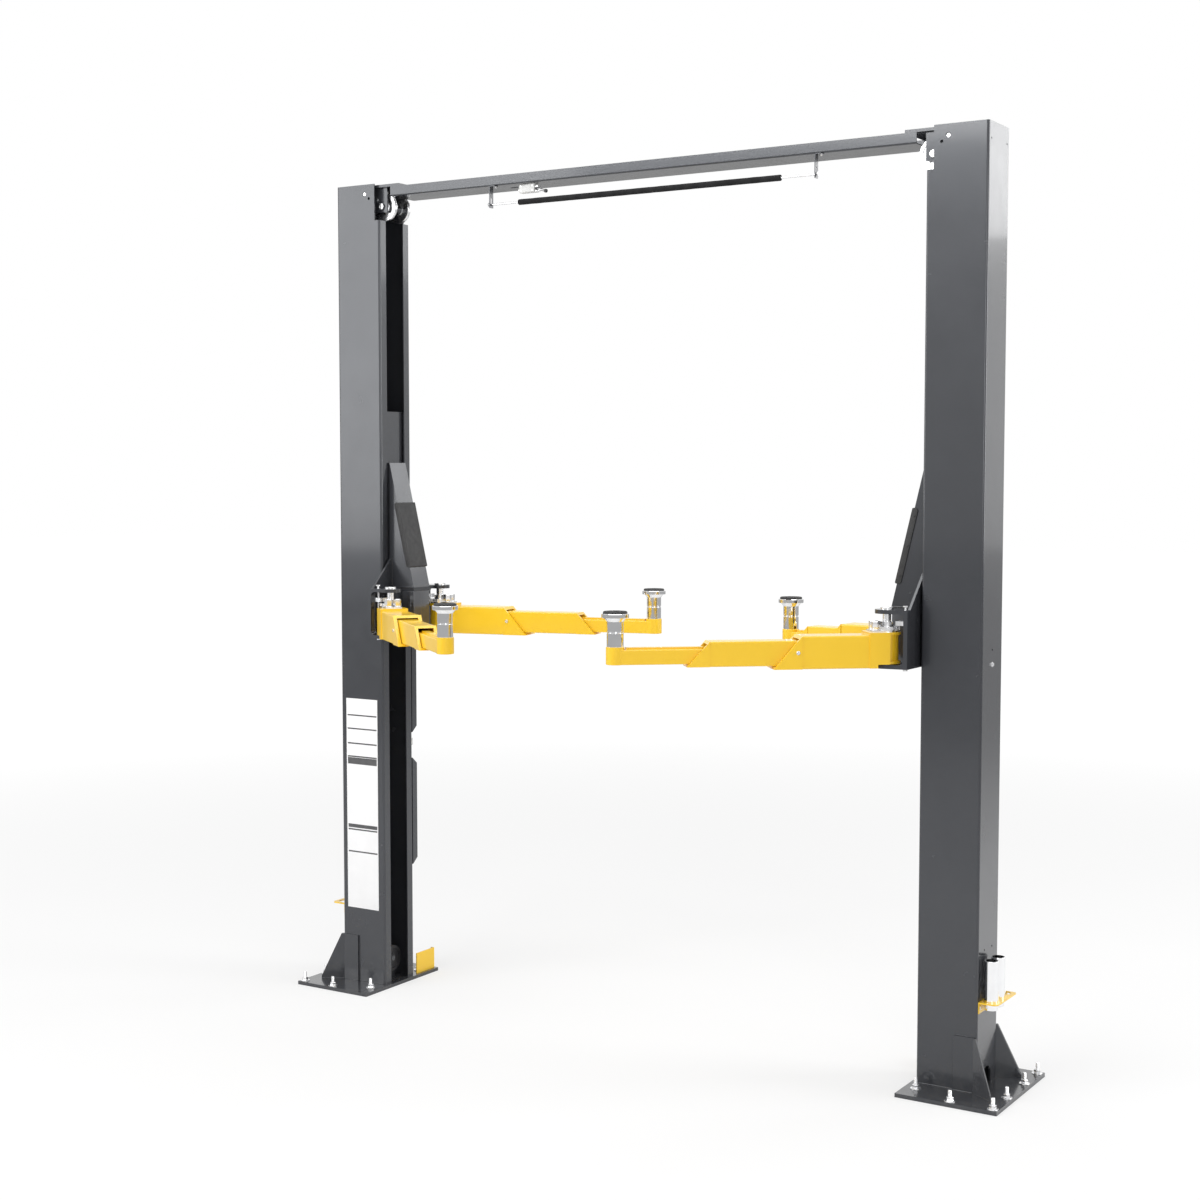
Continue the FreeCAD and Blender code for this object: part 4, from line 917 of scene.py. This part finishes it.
def adapter_pads():
    """Round rubber treads with raised rings and cross grooves."""
    low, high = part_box("front_right_adapter_pad")
    tall = high.z - low.z
    radius = (high.x - low.x) / 2
    floor = tall - TREAD_DEPTH
    profile = [(radius - 0.6 * MM, 0), (radius, 0.8 * MM), (radius, tall - 3 * MM), (radius - 3 * MM, tall)]
    for ring in TREAD_RINGS:
        profile += [((ring + 4) * MM, tall), ((ring + 3) * MM, floor), ((ring + 1) * MM, floor),
                    (ring * MM, tall)]
    drawn = turned("tread", profile, TREAD_SIDES)
    groove_low = (-60 * MM, -GROOVE_HALF, tall - 2 * MM)
    groove_high = (60 * MM, GROOVE_HALF, tall + 5 * MM)
    for number in range(GROOVES):
        groove = bar_box("groove", groove_low, groove_high)
        turned_groove = copied(groove, (0, 0, 0), (0, 0, math.radians(GROOVE_TURN * number)))
        discard(groove)
        cut = drawn.modifiers.new("groove", "BOOLEAN")
        cut.object = turned_groove
        cut.operation = "DIFFERENCE"
        only(drawn)
        bpy.ops.object.modifier_apply(modifier=cut.name)
        discard(turned_groove)
    for arm in ARMS:
        node = arm + "_adapter_pad"
        low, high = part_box(node)
        pad = copied(drawn, ((low.x + high.x) / 2, (low.y + high.y) / 2, low.z))
        pad.name = arm + "_rubber_tread"
        fitted(smooth(pad), arm + "_adapter", "black_rubber")
        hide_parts(node)
    discard(drawn)


def switch_case():
    """A white switch body with a recessed lid, on a plate below the beam."""
    low = (SWITCH_LOW.x, SWITCH_HIGH.y - 42 * MM, SWITCH_HIGH.z - 44 * MM)
    high = (CASE_RIGHT, SWITCH_HIGH.y, SWITCH_HIGH.z - 1 * MM)
    recess = 1.2 * MM
    case = bar_box("switch_case", low, high)
    pick_faces(case, lambda centre, normal: normal.y < -0.9)
    bpy.ops.mesh.inset(thickness=4 * MM)
    bpy.ops.mesh.extrude_region_move(TRANSFORM_OT_translate={"value": (0, recess, 0)})
    bpy.ops.object.mode_set(mode="OBJECT")
    rounded(case, 1.6 * MM, 3)
    fitted(smooth(case), "frame", "white_plastic")
    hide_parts("limit_switch")
    screw = socket_screw(3 * MM, 2 * MM)
    screws = []
    for x in (low[0] + 12 * MM, CASE_RIGHT - 12 * MM):
        for z in (low[2] + 10 * MM, SWITCH_HIGH.z - 11 * MM):
            screws.append(copied(screw, (x, low[1] + recess, z), FRONTWARD))
    discard(screw)
    fitted(smooth(joined("switch_screws", screws)), "frame", "zinc_plate")


def switch_lever():
    """The switch's bright head, its forked dark lever and the roller at the end."""
    y = SWITCH_HIGH.y - 24 * MM
    z = SWITCH_LOW.z + 14 * MM
    low = (CASE_RIGHT, y - 14 * MM, z - 9 * MM)
    high = (CASE_RIGHT + 20 * MM, y + 14 * MM, z + 21 * MM)
    head = rounded(bar_box("switch_head", low, high), 2 * MM, 3)
    gland = turned("gland", [(9 * MM, 0), (9 * MM, 5 * MM), (7 * MM, 6 * MM), (7 * MM, 11 * MM),
                             (4 * MM, 13 * MM)], 12)
    placed_gland = copied(gland, (SWITCH_LOW.x + 1 * MM, y, z + 8 * MM), LEFTWARD)
    discard(gland)
    fitted(smooth(joined("switch_head", [head, placed_gland])), "frame", "zinc_plate")
    half_wide, half_tall = 2 * MM, 1.8
    bars = []
    for rise in (-4, 4):
        bar_low = (0, -half_wide, (rise - half_tall) * MM)
        bar_high = (LEVER_LENGTH, half_wide, (rise + half_tall) * MM)
        bars.append(rounded(bar_box("bar", bar_low, bar_high), 0.8 * MM, 2))
    lever = joined("lever", bars)
    hub_x, hub_z = CASE_RIGHT + 13 * MM, z + 6 * MM
    root = Vector((hub_x, y - 17 * MM, hub_z))
    end = root + Vector((math.cos(LEVER_TILT), 0, -math.sin(LEVER_TILT))) * LEVER_LENGTH
    pieces = [copied(lever, root, (0, LEVER_TILT, 0))]
    discard(lever)
    hub = turned("hub", [(8 * MM, 0), (9 * MM, 1 * MM), (9 * MM, 5 * MM), (8 * MM, 6 * MM)], 24)
    roller = turned("roller", [(8.5 * MM, 0), (9.5 * MM, 1 * MM), (9.5 * MM, 10 * MM), (8.5 * MM, 11 * MM),
                               (4 * MM, 11 * MM), (3.4 * MM, 12 * MM)], 28)
    pieces.append(copied(hub, (hub_x, y - 14 * MM, hub_z), FRONTWARD))
    pieces.append(copied(roller, (end.x, y - 11 * MM, end.z), FRONTWARD))
    discard(hub)
    discard(roller)
    fitted(smooth(joined("switch_lever", pieces)), "frame", "dark_steel")


def placard():
    """A plain white panel on the left column's front, with neutral grey bands."""
    face = -HALF_WIDTH
    left, right = -1826 * MM, -1608 * MM
    low = (left, face - 1.2 * MM, 428 * MM)
    high = (right, face, 1600 * MM)
    panel = rounded(bar_box("placard", low, high), 0.4 * MM, 2)
    fitted(smooth(panel), "frame", "white_plastic", PLACARD_WHITE)
    band_left, band_right = left + 8 * MM, right - 6 * MM
    front, back = face - 1.4 * MM, face - 1 * MM
    bands = []
    for bottom, top in PLACARD_BANDS + tuple((height - 4, height + 4) for height in PLACARD_LINES):
        bands.append(bar_box("band", (band_left, front, bottom * MM), (band_right, back, top * MM)))
    for band in bands:
        rounded(band, 0.1 * MM, 1)
    fitted(joined("placard_bands", bands), "frame", "block_plastic", PLACARD_GREY)


foam_sleeve()
door_pads()
adapter_pads()
switch_case()
switch_lever()
placard()


# Camera, light and floor

WORLD_LEVEL = 0.5
FLOOR_SIZE = 120
FLOOR_TONE = (0.82, 0.82, 0.82, 1)
FLOOR_GLOW = 1.02
GLOW_NEAR, GLOW_FAR = 2.5, 11.0
GLOW_LEAST = 0.55
WHITE = (1, 1, 1, 1)

# Name, place, target, width, height and watts
SOFTBOXES = (
    ("left_front", (-7.5, -7.5, 4.5), (-1, 0, 2.6), 4, 5, 180),
    ("front_overhead", (-2.8, -8.5, 7.2), (0.3, 0, 2.4), 7, 2.5, 400),
    ("overhead", (0, 0, 8.5), (0, 0, 2), 6, 5, 250),
    ("right_rear", (7.5, 3.0, 4.5), (1.5, 0, 2.2), 3, 5, 250),
    ("behind_right", (5.6, 8.6, 7.0), (1.9, 0, 3.4), 4, 4, 110),
    ("right_front", (6.5, -7.5, 4.0), (0.5, 0, 2.0), 3, 3, 90),
)


def camera():
    """The camera at the photo's place and angle."""
    data = bpy.data.cameras.new("camera")
    data.lens = CAMERA_LENS
    data.sensor_width = CAMERA_SENSOR
    data.clip_end = 200
    eye = bpy.data.objects.new("camera", data)
    eye.location = CAMERA_PLACE
    eye.rotation_euler = (math.radians(90 + CAMERA_PITCH), 0, math.radians(-CAMERA_YAW))
    bpy.context.scene.collection.objects.link(eye)
    bpy.context.scene.camera = eye


def softbox(name, place, target, width, height, watts):
    """A rectangular lamp that faces its target."""
    data = bpy.data.lights.new(name, "AREA")
    data.shape = "RECTANGLE"
    data.size = width
    data.size_y = height
    data.energy = watts
    lamp = bpy.data.objects.new(name, data)
    lamp.location = place
    lamp.rotation_euler = (Vector(target) - Vector(place)).to_track_quat("-Z", "Y").to_euler()
    bpy.context.scene.collection.objects.link(lamp)


def world(level):
    """An even grey that lights the lift, seen as white by the camera and in reflections."""
    made = bpy.data.worlds.new("studio")
    bpy.context.scene.world = made
    made.use_nodes = True
    tree = made.node_tree
    shade = tree.nodes["Background"]
    path = tree.nodes.new("ShaderNodeLightPath")
    seen = path.outputs["Is Camera Ray"]
    for label in ("Is Glossy Ray", "Is Transmission Ray"):
        most = tree.nodes.new("ShaderNodeMath")
        most.operation = "MAXIMUM"
        tree.links.new(seen, most.inputs[0])
        tree.links.new(path.outputs[label], most.inputs[1])
        seen = most.outputs["Value"]
    strength = spread(tree, seen, 0.0, 1.0, level, 1.0)
    shade.inputs["Color"].default_value = WHITE
    tree.links.new(strength, shade.inputs["Strength"])


def studio_floor():
    """A pale floor that keeps the lift's shadow and turns white with distance."""
    bpy.ops.mesh.primitive_plane_add(size=FLOOR_SIZE, location=(0, 0, 0))
    floor = bpy.context.object
    floor.name = "studio_floor"
    material = bpy.data.materials.new("studio_floor")
    material.use_nodes = True
    tree = material.node_tree
    tree.nodes.clear()
    matte = tree.nodes.new("ShaderNodeBsdfDiffuse")
    matte.inputs["Color"].default_value = FLOOR_TONE
    glow = tree.nodes.new("ShaderNodeEmission")
    glow.inputs["Color"].default_value = WHITE
    glow.inputs["Strength"].default_value = FLOOR_GLOW
    away = tree.nodes.new("ShaderNodeVectorMath")
    away.operation = "LENGTH"
    place = tree.nodes.new("ShaderNodeTexCoord").outputs["Object"]
    tree.links.new(place, away.inputs[0])
    most = spread(tree, away.outputs["Value"], GLOW_NEAR, GLOW_FAR, GLOW_LEAST, 1.0)
    path = tree.nodes.new("ShaderNodeLightPath")
    share = spread(tree, path.outputs["Is Camera Ray"], 0.0, 1.0, 0.0, most)
    mix = tree.nodes.new("ShaderNodeMixShader")
    end = tree.nodes.new("ShaderNodeOutputMaterial")
    tree.links.new(share, mix.inputs[0])
    tree.links.new(matte.outputs[0], mix.inputs[1])
    tree.links.new(glow.outputs[0], mix.inputs[2])
    tree.links.new(mix.outputs[0], end.inputs["Surface"])
    floor.data.materials.append(material)


camera()
world(WORLD_LEVEL)
for box in SOFTBOXES:
    softbox(*box)
studio_floor()
bpy.context.scene.view_settings.view_transform = "Standard"
